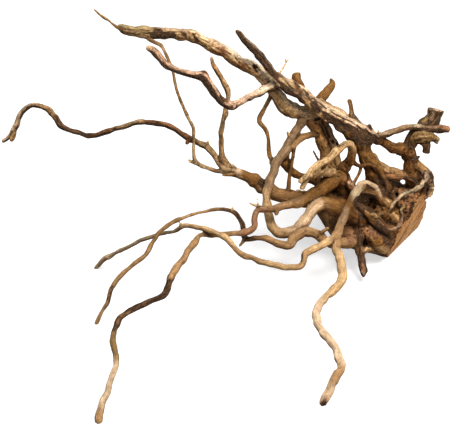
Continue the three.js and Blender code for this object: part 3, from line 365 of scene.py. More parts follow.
    "dangling_stub": [(360, 224, 34, 8), (358.5, 233, 27, 6), (358.3, 243, 20, 4), (359.5, 251, 18, 4.4),
        (361.3, 258.5, 16, 3.2), (362.6, 266, 14, 4), (364.4, 272.8, 12, 3.9), (365.4, 278.8, 11, 1.8)],
    "dangling_root": [(372, 247, 34, 4), (366, 248.5, 26, 3), (362, 252, 19, 3.2), (361.5, 259, 16, 2.6)],
    "back_spur": [(374, 206, 84, 15), (362, 209, 106, 11), (352, 211, 124, 8.5), (345, 210.5, 140, 6.5)],
    "back_stub": [(402, 206, 76, 12), (404, 196, 92, 11), (398, 188, 112, 7.5), (391, 180, 128, 5.5)],
    "back_limb": [(375, 186, 62, 9), (373, 172, 84, 6.5), (367, 158, 104, 5), (362, 146, 122, 4),
        (363, 136, 138, 2.8)],
    "back_root": [(372, 207, 66, 13), (356, 205, 76, 10), (341, 204, 92, 7.5), (331, 203, 112, 5.5),
        (322, 203, 132, 4)],
}

# The body of the stump: short thick runs of wood, in the same terms.
STUMP = {
    "lower_block": [(338, 216, 44, 14), (349, 230, 40, 15), (364, 236, 46, 15), (379, 238, 54, 16),
        (394, 243, 62, 17), (408, 250, 70, 17)],
    "buttress": [(322, 206, 44, 8.6), (329, 214, 44, 10), (336, 224, 42, 10.5), (344, 233, 40, 12)],
    "left_knob": [(354, 235, 44, 9), (351, 236, 32, 10), (348.5, 236.5, 24, 8.6), (347, 236.5, 19, 4.4)],
    "middle_block": [(362, 229, 30, 7), (368, 231.5, 27, 8), (375, 238, 31, 9), (384, 244, 38, 9.5),
        (396, 246, 46, 10)],
    "core": [(372, 206, 70, 16), (385, 208, 66, 19), (399, 210, 64, 21), (415, 216, 68, 24),
        (430, 224, 72, 26)],
    "bark_face": [(392, 196, 48, 8), (401, 198, 44, 11), (410, 203, 46, 14), (420, 211, 52, 16)],
    "crown": [(420, 176, 56, 7), (426, 180, 56, 9), (430, 188, 58, 10.5), (436, 200, 62, 12)],
    "back_block": [(380, 212, 88, 13), (394, 217, 86, 16), (410, 222, 86, 17), (426, 228, 88, 17)],
    "bowl_block": [(374, 209, 40, 7), (384, 213, 40, 10.5), (394, 219, 45, 12.5), (404, 227, 52, 14)],
}

# Hollows of the stump, cut before the limbs are joined on.
HOLLOWS = {
    "rot_pocket": [(364, 198, 4, 7), (364.5, 199, 26, 9), (367, 200, 44, 8), (369, 199, 62, 4)],
    "bark_pit": [(410.5, 205, 20, 2.4), (411, 206, 30, 3), (412, 207, 38, 2)],
    "bark_pit_low": [(396.5, 194, 20, 2.2), (397, 194, 36, 2.8), (397, 195, 44, 2)],
}

# Hollows through the joined wood: a hole, a knot hole, a slot, and nicks and a notch in the sawn edge.
LATE_HOLLOWS = {
    "peep_hole": [(402.3, 181.2, 30, 3), (402.5, 181.4, 60, 3.2), (403, 181.6, 130, 3.4)],
    "knot_hole": [(263.5, 182, 17, 2.4), (264.5, 182.6, 25, 2.2), (266, 183, 29, 1.2)],
    "slot": [(361.5, 213, 30, 2.6), (367, 220, 32, 1.8), (374, 227.6, 36, 2), (381, 233.5, 41, 2.6),
        (388, 235, 46, 2)],
    "edge_nick": [(426.8, 205.5, 20, 1.2), (426.6, 205.6, 60, 1.2), (426.6, 205.6, 110, 1.2)],
    "second_nick": [(425, 213.6, 20, 1.1), (424.8, 213.8, 60, 1.1), (424.8, 213.8, 110, 1.1)],
    "third_nick": [(421, 222.6, 20, 1.3), (420.8, 222.8, 60, 1.3), (420.8, 222.8, 110, 1.3)],
    "saw_notch": [(431, 199.5, 20, 1.6), (426.5, 199.7, 60, 1.8), (426.5, 199.7, 110, 1.6)],
}

# Wood added after the saw cuts: the broken end of the hooked limb, and the rim above the notch.
LATE_LIMBS = {
    "claw_curl": [(325, 165.5, -13, 3), (322, 170.5, -14, 2.4), (317, 172.5, -18, 2.6),
        (313.5, 175.5, -20, 2)],
    "claw_knuckle": [(318, 167.5, -19, 4.1), (312.5, 171, -22, 3.9), (309, 173.5, -24, 3)],
    "long_finger": [(310, 173, -24, 2.6), (304, 177.5, -27, 2), (300, 181.3, -29, 2)],
    "short_finger": [(310, 174, -23, 2.6), (306, 180, -24, 2.1), (302.6, 187.5, -25, 2)],
    "rim_flap": [(427, 176, 52, 4), (430.2, 181, 55, 3.4), (430.8, 188, 61, 3.2), (428.6, 194, 65, 3),
        (425.8, 197.2, 66, 1.6)],
}

# Ends that were sawn or snapped off square.
SQUARE_ENDS = ("sawn_arm", "right_limb", "thumb_stub", "burr_leg", "back_spur", "back_stub", "back_root")

# The finish of each limb that isn't tan.
LIMB_FINISHES = {
    "brown": ("high_twig", "far_left_stub", "left_trunk", "left_trunk_splinter", "dark_limb",
        "crown_flange", "crooked_twig", "spare_prop", "cross_branch", "low_root_snag",
        "long_left_nub"),
    "pink": ("knuckle_limb",),
    "russet": ("far_left_root", "far_left_nub", "loop_root", "rough_strand", "dangling_root",
        "left_knob"),
    "honey": ("hanging_twig", "leaning_limb", "hump_strand", "shoulder_root", "arch_root",
        "long_left_root", "low_root", "needle_thorn"),
    "pale": ("light_strand", "front_root", "hooked_limb_wart"),
    "hazel": ("thumb_stub", "horn_stub", "finger_stub", "bowl_block", "neck", "inner_branch",
        "brow_root", "back_stub", "back_limb", "buttress", "stay_twig", "stay_thread"),
    "umber": ("bark_strap", "burr_leg", "right_trunk_thorn", "dangling_stub"),
    "bark": ("knot_wart", "stray_thorn"),
    "grey": ("right_limb", "surface_root"),
    "amber": ("right_trunk", "ridge_root", "apron_limb", "back_spur", "back_root"),
    "moss": ("sawn_arm",),
    "straw": ("burr",),
    "ash": ("burr_tooth",),
    "orange": ("left_strand", "rim_flap"),
    "olive": ("rim_root",),
    "crumb": ("bark_face", "crown", "core", "lower_block", "middle_block", "back_block"),
}

# The stretches that differ from the rest of their limb: (left, right, top, bottom, finish) on the sheet.
# Where two of a limb's stretches overlap, the later one holds.
STRETCHES = {
    # The high limb's pale stretch under the crossing is painted light where the dark limb shades it.
    "high_limb": [(0, 153, 0, 60, "olive"), (262, 320, 72, 122, "pale")],
    "knuckle_limb": [(0, 197, 0, 110, "russet"), (197, 231, 0, 110, "umber")],
    "far_left_root": [(118, 142, 0, 200, "tan"), (56, 92, 0, 200, "umber"),
        (36, 56, 0, 200, "honey"), (0, 36, 0, 200, "pale"), (196, 236, 130, 184, "tan")],
    "dark_limb": [(258, 285, 54, 95, "umber")],
    "right_limb": [(368, 387, 110, 150, "pale"), (387, 414, 110, 140, "dun"),
        (426, 444, 90, 160, "umber"), (444, 455, 90, 160, "russet")],
    "surface_root": [(415, 434, 166, 181, "drift")],
    # The hazel stretches of the hooked limb and of the long left root near the stump are painted shade.
    "hooked_limb": [(338, 356, 148, 190, "hazel")],
    "long_left_root": [(240, 275, 200, 236, "clay"), (170, 201, 228, 279, "honey"),
        (300, 350, 160, 204, "hazel"), (126, 171, 277, 316, "bark"), (106, 126, 314, 366, "straw"),
        (90, 126, 366, 430, "pale"), (90, 108, 408, 430, "honey"), (106, 123, 314, 333, "umber")],
    "low_root": [(104, 116, 288, 302, "umber"), (150, 178, 214, 262, "brown"),
        (226, 256, 200, 240, "umber")],
    "floor_root": [(112, 180, 180, 270, "grey"), (180, 262, 180, 270, "honey"),
        (180, 232, 180, 250, "tan"), (90, 112, 240, 272, "pale"), (296, 308, 248, 272, "honey")],
    # The arch root's shoulder, from 318 to 372 on the sheet, is darkened as painted shade.
    "arch_root": [(262, 306, 118, 198, "dun"), (256, 280, 206, 250, "tan"),
        (286, 318, 196, 250, "pale"), (324, 345, 190, 212, "hazel"), (318, 345, 212, 236, "brown"),
        (345, 372, 190, 236, "amber")],
    "front_root": [(336, 366, 186, 232, "grey"), (336, 352, 200, 232, "dun"),
        (330, 346, 232, 262, "tan"), (334, 348, 244, 284, "tan"), (318, 344, 284, 300, "tan"),
        (326, 342, 368, 386, "honey"), (310, 345, 402, 412, "umber")],
    "left_strand": [(316, 340, 140, 200, "brown")],
    "leaning_limb": [(216, 232, 84, 128, "tan")],
    "crooked_twig": [(262, 275, 128, 165, "hazel")],
    "sawn_arm": [(398, 422, 126, 160, "umber")],
    "left_trunk": [(208, 240, 150, 184, "pale"), (238, 262, 160, 200, "hazel")],
    "hanging_twig": [(190, 216, 156, 176, "umber"), (160, 184, 46, 108, "brown"),
        (184, 210, 110, 172, "tan")],
}

# Limbs that are darker on their lower side, part bark and part painted shade: the finish there, the way
# that side faces, and where it begins.
DARK_SIDES = [
    ("dark_limb", "bark", (-0.55, 0.8, 0.1), -0.2),
    ("high_limb", "brown", (-0.3, 0.9, -0.2), 0.6),
    ("right_limb", "bark", (0.1, 0.95, 0.1), 0.35),
    ("knuckle_limb", "bark", (0, 0.95, 0), 0.3),
    ("far_left_root", "bark", (0, 0.95, 0), 0.3),
    ("leaning_limb", "umber", (-0.3, 0.8, 0), 0.4),
]

# Limbs worn smooth, and how much relief and grain they keep.
SMOOTH_LIMBS = ("arch_root", "front_root", "left_trunk", "long_left_root", "low_root", "floor_root",
    "stay_twig", "cross_branch", "arch_thorn", "horn_stub", "buttress", "left_knob", "right_strand")
SMOOTH_SHARE = 0.55

# The stump crumbles to the right of CRUMBLY_FROM on the sheet and above SMOOTH_BELOW.
CRUMBLY_FROM = 350
SMOOTH_BELOW = 247

# Round patches of another finish: (right, down, back, reach, finish).
PATCHES = [
    (364, 137, 18, 9, "black"),
    (307, 103, 20, 4, "black"),
    (255, 67, 18, 4, "umber"),
    (222, 51, 17, 5, "russet"),
    (243, 66, 18, 5, "russet"),
    # Painted shade in the knot hole.
    (264, 182, 22, 5, "black"),
]

# Carving and painting done square on to the sheet, on the wood that can be seen from there:
# the line of each stroke, half its width, how far it raises the wood, and the finish it leaves. Many
# strokes paint shade into cracks and hollows and under roots, and highlights along tops and rims.
STROKES = [
    # The stump: its smooth cheeks and bands, with painted highlights and painted shade.
    ([(364, 227), (370, 229), (375, 234), (371, 238)], 3.6, 0, "clay"),
    ([(346, 229), (350, 233), (350, 240)], 4.6, 0, "clay"),
    ([(377, 199), (383, 204), (387, 211), (386, 219)], 5.6, 0, "hazel"),
    ([(387, 214), (391, 218), (396, 220), (396, 226)], 4.6, 0.2, "amber"),
    ([(352, 206), (356, 212), (355, 220)], 4.0, 0, "amber"),
    ([(362, 209.5), (368, 213), (374, 218.5), (380, 224), (386, 229)], 3.0, 0.3, "hazel"),
    # A painted highlight along the apron's ridge.
    ([(364, 208.6), (371, 213.6), (378, 219.6)], 0.9, 0.2, "brown"),
    ([(371, 241), (380, 241.5), (390, 240)], 3.8, 0, "hazel"),
    ([(367, 249.2), (377, 249.6), (388, 250)], 3.6, 0.3, "tan"),
    ([(368, 252.6), (378, 254), (386, 254)], 0.8, 0, "umber"),
    # A painted highlight on the cheek.
    ([(391, 212.5), (396, 215), (398.5, 219)], 1.1, 0.3, "tan"),
    ([(384, 199.5), (389, 201.5), (393, 206)], 2.4, 0.4, "tan"),
    ([(399, 200), (406, 203)], 2.0, 0.4, "russet"),
    ([(366, 186), (373, 190), (379, 195), (382, 199)], 3.6, 0, "hazel"),
    # Painted shade on the underside of the neck.
    ([(378, 180), (384, 186), (389, 194)], 4.0, 0, "umber"),
    ([(377, 180), (380.5, 186), (384, 192)], 2.2, 0, "bark"),
    # Painted light on the rim flap, which lies in shadow.
    ([(432, 184), (431, 190), (427, 197)], 3.0, 0, "pale"),
    ([(402, 181), (408, 183.5)], 1.6, 0.2, "tan"),
    # A painted highlight along the brow's upper edge.
    ([(361, 182.4), (366, 182.7), (372, 185.7), (378, 190.3), (383, 197.3)], 0.8, 0.4, "pale"),
    # Its cracks, slots and hollows, carved in and darkened as painted shade, with painted shadows by the
    # roots that cross it and painted highlights on some rims.
    ([(358.6, 209), (358.8, 218), (358, 228), (358, 240), (357.5, 246)], 1.1, -1.2, "umber"),
    ([(361, 211.5), (364, 216.5)], 2.2, -1.0, "black"),
    ([(364, 216.5), (369, 222), (374, 227)], 0.9, -1.0, "black"),
    ([(374.5, 227), (379, 232), (387, 235)], 1.8, -1.0, "black"),
    # Painted shade in the cavity under the brow.
    ([(357.5, 201.5), (362, 198), (368, 198), (373, 197)], 4.2, -0.6, "black"),
    ([(362, 205.5), (367, 207.5), (371, 211)], 1.3, -0.8, "black"),
    # A painted highlight on the shelf in the cavity.
    ([(366, 203.2), (372, 203), (377, 202)], 0.8, 0.6, "hazel"),
    # Painted shade under the brow.
    ([(364, 191.5), (370, 193), (375, 195)], 0.8, 0.4, "umber"),
    ([(366.5, 184), (369, 187), (373, 189)], 0.8, -0.6, "black"),
    # A knot's ring: painted highlights on its raised rim and painted shade inside and below it.
    ([(371.5, 210.5), (374, 207.8), (378, 207), (382, 209)], 0.6, -0.7, "umber"),
    ([(372, 213.5), (376, 216), (380.5, 215.5), (383, 212.5)], 0.6, 0.6, "olive"),
    ([(371, 216), (376, 218.6), (382, 217.8)], 0.6, -0.6, "umber"),
    ([(375, 211.5), (379, 212)], 0.7, -0.7, "bark"),
    ([(374, 213.5), (378, 214), (381, 212.5)], 0.5, 0.5, "tan"),
    ([(387, 222), (391, 222.6), (396, 223.6)], 0.9, -1.2, "black"),
    ([(401, 210), (402.6, 216), (402, 222), (398.5, 226), (393.5, 228), (388, 230.4)], 0.9, 0.9, "drift"),
    # Painted shadows on either side of this root.
    ([(403.9, 217), (403.7, 222)], 0.6, -0.8, "black"),
    ([(399.2, 211), (400.4, 217), (399.8, 222)], 0.6, -0.6, "umber"),
    ([(386, 230.8), (388.5, 231.4)], 0.6, 0.3, "pale"),
    ([(396, 192), (397, 195.4)], 1.5, -1.2, "black"),
    ([(412.2, 202.5), (413.3, 207)], 1.5, -1.4, "black"),
    ([(411.2, 210.5), (411, 213)], 1.1, -1.1, "black"),
    ([(404, 198), (404, 200.5)], 0.9, -0.9, "bark"),
    # Painted shadow under the surface root.
    ([(397, 202), (394, 207), (391, 212)], 0.9, -0.8, "black"),
    ([(421, 208), (421, 209)], 0.9, -0.8, "black"),
    # Painted shade in the gaps along the loop root and between the neck and the ridge root.
    ([(392, 180.5), (397, 183), (402, 186), (408, 188)], 1.2, -1.0, "black"),
    ([(386, 177), (390, 180), (393, 185)], 1.2, -0.6, "bark"),
    ([(404, 177.6), (410, 177), (414, 179.5), (418, 184)], 1.0, -0.8, "black"),
    ([(384, 184), (385, 190), (383.5, 196)], 1.1, -0.8, "bark"),
    ([(375, 167), (379, 173), (383, 180)], 0.9, -0.5, "umber"),
    ([(362, 243.5), (366, 245), (369.5, 246)], 1.1, -0.8, "black"),
    ([(344, 226), (351, 224.6), (357, 223.5)], 1.0, -0.8, "umber"),
    ([(344.5, 236), (346.5, 233.6), (349.5, 234)], 0.6, -0.6, "umber"),
    ([(347, 236.5), (348, 238.5)], 0.6, -0.5, "umber"),
    ([(364.5, 229), (366, 231)], 0.7, -0.6, "umber"),
    ([(368, 232), (370, 233)], 0.6, -0.6, "umber"),
    ([(426, 184), (427, 189)], 1.7, -1.0, "black"),
    ([(429, 173), (432, 177), (432, 182)], 2.4, 0, "bark"),
    ([(421.5, 173.5), (425, 171.8), (428, 174.5)], 1.0, 0.6, "drift"),
    ([(428, 175), (429.5, 179), (427, 183)], 1.0, 0.6, "drift"),
    ([(423, 175), (424, 179)], 0.9, -0.6, "bark"),
    ([(418, 172), (419.5, 179), (419, 183)], 1.1, -0.8, "black"),
    ([(424, 198.5), (416, 199), (410, 197)], 0.9, -0.4, "umber"),
    # The flank under the arch.
    ([(324, 214), (331, 226), (339, 240)], 7.5, 0, "honey"),
    # The wood between the long left root and the stump.
    ([(336, 185), (341, 192), (347, 200)], 6.0, 0, "amber"),
    ([(333, 193), (336, 191)], 1.3, -0.8, "black"),
    ([(338, 196), (341.5, 195.4)], 1.2, -0.7, "bark"),
    ([(343.5, 188), (345, 188.4)], 0.8, -0.6, "bark"),
    ([(337.5, 176), (339, 176.6)], 0.9, -0.7, "bark"),
    ([(345, 165.5), (346.4, 168)], 1.0, -0.8, "bark"),
    ([(345.5, 176), (346.5, 181), (349, 184.5)], 1.2, 0.3, "clay"),
    ([(349, 181), (353, 185), (355, 188)], 1.2, 0.3, "pink"),
    # A spot on the bend of the floor root, and one on the front root's tip.
    ([(302.4, 254), (301.6, 261)], 0.8, -0.4, "bark"),
    ([(322, 402.5), (324, 405)], 1.0, -0.8, "black"),
    # The dangling stub: knobs and pits.
    ([(361, 262), (364, 268)], 1.5, 0.6, "clay"),
    ([(359.5, 254), (360.5, 262)], 0.8, -0.6, "black"),
    ([(365, 262), (366.5, 268)], 0.9, -0.4, "bark"),
    ([(362, 271), (365, 276)], 1.0, 0.4, "drift"),
    # The arm that was sawn off, and the burr beside it, with painted highlights on the burr.
    ([(424, 116), (429, 111.5)], 0.8, -0.4, "umber"),
    ([(427, 122), (433, 117), (440, 114)], 0.8, -0.4, "umber"),
    ([(422, 121), (428, 117)], 1.0, 0.2, "straw"),
    ([(413, 137), (418, 134.6), (424, 134)], 0.6, -0.5, "umber"),
    ([(414, 140.5), (420, 139), (427, 138.6)], 0.6, -0.6, "umber"),
    ([(416, 144), (422, 142.6)], 0.6, -0.5, "umber"),
    # Painted highlights along the burr.
    ([(415, 138.6), (420, 137), (426, 136)], 0.8, 0.4, "olive"),
    ([(417, 142.2), (423, 141)], 0.7, 0.4, "olive"),
    ([(420, 128.6), (428, 129.6), (438, 129)], 1.0, -0.3, "black"),
    ([(426, 126.2), (432, 125.8), (437, 127)], 0.9, 0.2, "drift"),
    ([(430, 112), (428, 120)], 0.8, -0.4, "bark"),
    ([(437, 111.5), (435.5, 120)], 0.8, -0.4, "bark"),
    ([(433, 112), (431.6, 119)], 0.7, 0.3, "drift"),
    ([(436, 126.4), (443, 126.6), (448, 127)], 0.9, 0.2, "clay"),
    # The dark limb across the top, with the pale strands along it, and painted highlights and sheen on the
    # dark wood.
    ([(238, 33), (250, 48), (262, 62), (272, 76), (282, 87)], 2.0, 0, "black"),
    # Painted highlights along the dark limb.
    ([(246, 37), (257, 49), (268, 61), (276, 71)], 1.1, 0.4, "ash"),
    ([(282, 87), (289, 92.5)], 1.7, 0, "black"),
    ([(290, 93.5), (300, 97), (307, 103)], 1.6, 0, "umber"),
    ([(290, 87), (298, 92), (304, 97)], 1.0, -0.5, "ash"),
    ([(325, 115), (331, 119.5), (338, 123.5), (345, 127)], 3.8, -0.5, "black"),
    ([(331, 124), (337, 127.5), (343, 130.5)], 0.8, 0.3, "brown"),
    ([(347, 133), (351, 135)], 2.6, 0, "hazel"),
    ([(346, 124.5), (353, 127.5), (358, 131)], 2.0, -0.4, "black"),
    ([(359, 135), (362, 140), (368, 141), (374, 138.5)], 4.6, 0, "black"),
    # A painted sheen on the black wood.
    ([(360, 137), (366, 138.6), (371, 137)], 0.8, 0.6, "ash"),
    ([(357.5, 128), (361, 132)], 1.3, 0.3, "drift"),
    ([(367, 128), (370, 132.5)], 1.2, 0.4, "clay"),
    ([(281, 78), (288, 83), (296, 88.5), (302, 93)], 1.8, 0.4, "tan"),
    # The strands to the left of the crossing, and the foot of the high limb, with painted light where the
    # dark limb shades it.
    ([(319, 127), (323, 133), (326, 140)], 0.9, 0.4, "honey"),
    ([(323, 120), (326.5, 127), (328.5, 135), (329, 143)], 1.6, -0.3, "clay"),
    ([(325.5, 121), (330, 129), (333, 137), (336, 143)], 2.6, 0.5, "pink"),
    ([(306, 105), (312, 109), (320, 115)], 4.0, 0, "tan"),
    # Painted light where the dark limb shades the high limb's foot.
    ([(250, 60), (258, 66), (266, 74), (274, 82)], 3.2, 0.2, "painted_lit_pale"),
    ([(262, 90), (270, 87), (278, 85)], 2.6, 0.3, "painted_lit_pale"),
    ([(281, 92), (288, 100), (298, 106)], 2.4, 0.2, "painted_lit_pale"),
    ([(274, 92), (282, 104), (294, 114)], 3.4, 0, "tan"),
    # The thumb stub's foot: darker wood, with painted shade.
    ([(296.5, 84), (301, 92)], 2.6, 0, "umber"),
    # Under the left trunk, and low on the stump.
    ([(262, 189), (266, 198)], 3.0, 0, "tan"),
    ([(380, 222), (386, 232), (388, 242)], 4.4, 0, "umber"),
    # The pale strands and the cracks beside them, with painted highlights and painted shade.
    ([(305, 91), (312, 98), (318, 103), (324, 108), (331, 113), (340, 118), (350, 122.5)],
        1.4, 0.7, "pale"),
    ([(350, 122.5), (356, 125.5), (361, 127)], 1.2, 0.5, "pink"),
    # Painted shade in the gap between the pale strand and the hump.
    ([(304, 89.5), (310, 95.5), (316, 100.5), (321, 104), (326, 108)], 0.8, -1.1, "bark"),
    ([(331, 111.5), (338, 115.5), (345, 119), (352, 121.3)], 0.7, -1.0, "umber"),
    # A painted highlight along the hump.
    ([(320, 101), (326, 104.5), (333, 108), (341, 111.5), (347, 115)], 1.8, 0.2, "pale"),
    ([(352, 113), (356, 118), (360, 122.5)], 1.2, 0, "ash"),
    # A painted highlight on the burl's top.
    ([(361, 124.5), (367, 127.5), (371, 131.5)], 1.5, 0.5, "pink"),
    ([(357, 125), (362, 129.5), (364, 134.5)], 0.8, -0.9, "black"),
    ([(366, 131), (371, 135)], 0.8, -0.8, "black"),
    ([(361, 129), (362, 132)], 0.9, 0.4, "grey"),
    # Painted shade under the start of the right limb.
    ([(371, 139.5), (377, 136.5)], 1.0, -0.3, "black"),
    ([(296, 81), (297, 88)], 2.8, 0, "umber"),
    ([(350, 102), (351, 110), (352, 117)], 1.0, 0, "brown"),
    # A slot carved in, with painted shade in it.
    ([(313, 103.5), (315.5, 107), (318, 110)], 2.7, -1.6, "black"),
    # The high limb: a painted highlight along its top, with bark and pits on its side and painted shade
    # along its lower side.
    ([(160, 27.5), (185, 28.5), (197, 31), (203, 36), (215, 42), (228, 48)], 1.5, 0.2, "pale"),
    ([(228, 48), (240, 56), (252, 63)], 2.2, 0.2, "painted_lit_pale"),
    # Painted shade where the lit top turns to the lower side.
    ([(170, 32), (178, 31), (190, 33.5), (197, 33)], 0.7, -0.6, "umber"),
    ([(153, 34.5), (160, 33), (167, 34.5), (173, 34.5)], 3.0, 0.2, "black"),
    ([(154, 28.5), (162, 29)], 1.1, 0, "bark"),
    ([(183, 34), (185, 34.6)], 1.4, -0.8, "black"),
    ([(194, 36.5), (197.5, 40)], 1.1, -0.8, "black"),
    ([(216, 47), (222, 49)], 0.9, -0.7, "umber"),
    ([(225, 50), (230, 53.5)], 0.9, -0.7, "umber"),
    ([(235, 56.5), (237, 58.5)], 0.9, -0.7, "bark"),
    ([(238, 61.5), (244, 66)], 1.0, -0.7, "umber"),
    ([(246, 64), (250, 68.5)], 0.9, -0.6, "umber"),
    ([(254, 66), (256.5, 70.5)], 1.5, -1.1, "bark"),
    # Painted shade along the lower side.
    ([(175, 38), (200, 47), (215, 52), (232, 63), (246, 72.5)], 1.3, 0, "brown"),
    ([(122, 29), (138, 30.5), (150, 30)], 0.6, -0.5, "umber"),
    ([(126, 32.5), (142, 34.5), (152, 37)], 0.6, -0.5, "umber"),
    # The knuckled limb under it, with painted highlights along its top.
    ([(188, 72), (194, 72.5), (199, 72.5)], 1.4, 0.2, "pink"),
    ([(224, 104), (230, 104.5), (238, 100.5)], 1.6, 0.2, "pink"),
    ([(147.5, 47.5), (150.5, 48)], 2.4, 0, "pale"),
    # A painted highlight along the top.
    ([(155, 49.5), (163, 60), (172, 66), (185, 70), (195, 72.5)], 1.2, 0, "pink"),
    ([(150, 51), (156, 58), (163, 66.5), (172, 71)], 1.2, 0, "bark"),
    ([(198, 78), (204, 79), (209, 84), (213, 91), (218, 99), (223, 104)], 2.4, 0, "bark"),
    ([(200, 75), (202, 77)], 1.8, -0.6, "black"),
    ([(213, 93), (218, 101), (225, 105.5), (231, 108)], 1.3, 0, "black"),
    # A painted highlight along the top side.
    ([(204, 73), (210, 79), (214, 86), (219, 95)], 0.9, 0, "pink"),
    # Cracks and spots on the strands below the crossing.
    ([(315, 119.5), (320, 118)], 1.1, -0.8, "black"),
    ([(322, 121), (326, 128), (329, 137)], 1.3, -0.6, "umber"),
    ([(332, 140), (333.5, 142)], 1.4, -0.9, "black"),
    ([(337, 143), (338.5, 145)], 1.5, -0.9, "black"),
]

# A stroke reaches wood that faces the viewer and isn't behind other wood, up to STROKE_REACH half widths
# from its line. Sight begins CLEAR_OF_WOOD millimetres off the wood.
LEAST_FACING = 0.05
STROKE_REACH = 1.3
CLEAR_OF_WOOD = 1.2

# Limbs sawn off: a point of the cut, the way it faces, and the size of what is taken away.
END_CUTS = [
    ((436, 109.3, 53), (0.19, -0.95, 0.22), 0.024),
]

# Round knots in the wood: (right, down, back, size).
KNOTS = [
    (347, 236.5, 19, 6.5),
    (377, 211, 14, 6),
    (255, 66, 17, 4),
    (203, 76, -26, 4),
    (232, 105, -10, 4),
    (339, 174, 17, 5),
    (410, 151, 47, 5),
    (357, 134, 20, 6),
]


def strokes_at(spots, normals, piece):
    """For each stroke, the points of the mesh it reaches and how near its line they are, from 0 to 1."""
    across, down = sheet_places(spots)
    eye = eye_place()
    tree = BVHTree.FromObject(piece, bpy.context.evaluated_depsgraph_get())
    away = np.array(eye) / MM - spots
    away /= np.linalg.norm(away, axis=1)[:, None]
    facing = (normals * away).sum(1) > LEAST_FACING
    seen = {}
    reached = []
    for line, width, _, _ in STROKES:
        gap = line_distance(across, down, line)
        near = np.nonzero(facing & (gap < width * STROKE_REACH))[0]
        for i in near:
            if i not in seen:
                start = Vector(spots[i] * MM) + Vector(away[i]) * CLEAR_OF_WOOD * MM
                seen[i] = tree.ray_cast(start, Vector(away[i]))[0] is None
        near = near[[seen[i] for i in near]] if len(near) else near
        reached.append((near, 1 - gap[near] / width))
    return reached


def line_distance(across, down, line):
    """How far each place on the sheet is from a broken line."""
    best = np.full(len(across), 1e9)
    for (x0, y0), (x1, y1) in zip(line, line[1:]):
        length = (x1 - x0) ** 2 + (y1 - y0) ** 2
        share = np.clip(((across - x0) * (x1 - x0) + (down - y0) * (y1 - y0)) / length, 0, 1)
        gap = np.hypot(across - x0 - share * (x1 - x0), down - y0 - share * (y1 - y0))
        best = np.minimum(best, gap)
    return best


def sheet_places(spots):
    """Where points of the mesh show on the sheet: right and down."""
    x = spots[:, 0] - STAND_X
    y = spots[:, 1] - STAND_Y
    z = spots[:, 2] - SHEET_HEIGHT
    back = y * math.cos(EYE_TILT) - z * math.sin(EYE_TILT)
    up = y * math.sin(EYE_TILT) + z * math.cos(EYE_TILT)
    spread = (EYE_DISTANCE + back) / EYE_DISTANCE
    return SHEET_RIGHT + x / spread, SHEET_DOWN - up / spread


def eye_place():
    return place((SHEET_RIGHT, SHEET_DOWN, 0)) + sheet_way(0, 0, 1) * EYE_DISTANCE * MM


def place(point):
    """Where a traced point lies in the root's own frame, in metres."""
    right, down, back = point[:3]
    spread = (EYE_DISTANCE + back) / EYE_DISTANCE
    across = (right - SHEET_RIGHT) * spread
    up = (SHEET_DOWN - down) * spread
    x = across + STAND_X
    y = up * math.sin(EYE_TILT) + back * math.cos(EYE_TILT) + STAND_Y
    z = SHEET_HEIGHT + up * math.cos(EYE_TILT) - back * math.sin(EYE_TILT)
    return Vector((x, y, z)) * MM


def spot_of(point):
    """The same in millimetres, as the mesh's points are given."""
    return np.array(place(point)) / MM


def true_radius(point):
    """A traced point's radius in metres: what lies further back is drawn smaller on the sheet."""
    return point[3] * MM * (EYE_DISTANCE + point[2]) / EYE_DISTANCE


def sheet_way(right, down, near):
    """A direction given on the sheet, turned into the root's own frame."""
    y = -down * math.sin(EYE_TILT) - near * math.cos(EYE_TILT)
    z = -down * math.cos(EYE_TILT) + near * math.sin(EYE_TILT)
    return Vector((right, y, z)).normalized()


def smooth_path(name, points):
    """The knots of a limb's middle line, each with how far along its traced points it lies."""
    places = [place(point) for point in points]
    radii = [true_radius(point) for point in points]
    if name not in SQUARE_ENDS:
        onward = (places[-1] - places[-2]).normalized()
        places.append(places[-1] + onward * radii[-1] * TIP_LENGTH)
        radii.append(radii[-1] * TIP_WIDTH)
    knots = with_handles(places, radii, list(range(len(places))))
    return gnarled(name, knots) if name in LIMBS else knots


def with_handles(places, radii, marks):
    """Knots of a smooth line: place, radius, handle before, handle after, and mark."""
    knots = []
    for i, here in enumerate(places):
        behind = here - places[max(i - 1, 0)]
        ahead = places[min(i + 1, len(places) - 1)] - here
        way = (behind.normalized() + ahead.normalized()).normalized()
        before = here - way * behind.length / 3
        after = here + way * ahead.length / 3
        knots.append((here, radii[i], before, after, marks[i]))
    return knots


def gnarled(name, knots):
    """The same line with more knots, which stray, swell and narrow a little as grown wood does."""
    places, radii, marks, along = [], [], [], []
    run = list(LIMBS).index(name) * 100.0
    for first, second in zip(knots, knots[1:]):
        length = (second[0] - first[0]).length / MM
        parts = max(1, round(length / GNARL_STEP))
        line = interpolate_bezier(first[0], first[3], second[2], second[0], parts + 1)
        for j in range(parts):
            share = j / parts
            places.append(line[j])
            radii.append(first[1] + (second[1] - first[1]) * share)
            marks.append(first[4] + (second[4] - first[4]) * share)
            along.append(run + length * share)
        run += length
    places.append(knots[-1][0])
    radii.append(knots[-1][1])
    marks.append(knots[-1][4])
    for i in range(1, len(places) - 1):
        at = Vector((along[i] / GNARL_LENGTH, 0.3, 0.7))
        places[i] = places[i] + noise.noise_vector(at) * GNARL_STRAY * min(radii[i] / 3, MM)
        radii[i] *= 1 + GNARL_SWELL * noise.noise(at * 1.6 + Vector((0, 5, 0)))
    return with_handles(places, radii, marks)


def deselect_all():
    for thing in bpy.context.view_layer.objects:
        thing.select_set(False)


def select_only(thing):
    deselect_all()
    thing.select_set(True)
    bpy.context.view_layer.objects.active = thing


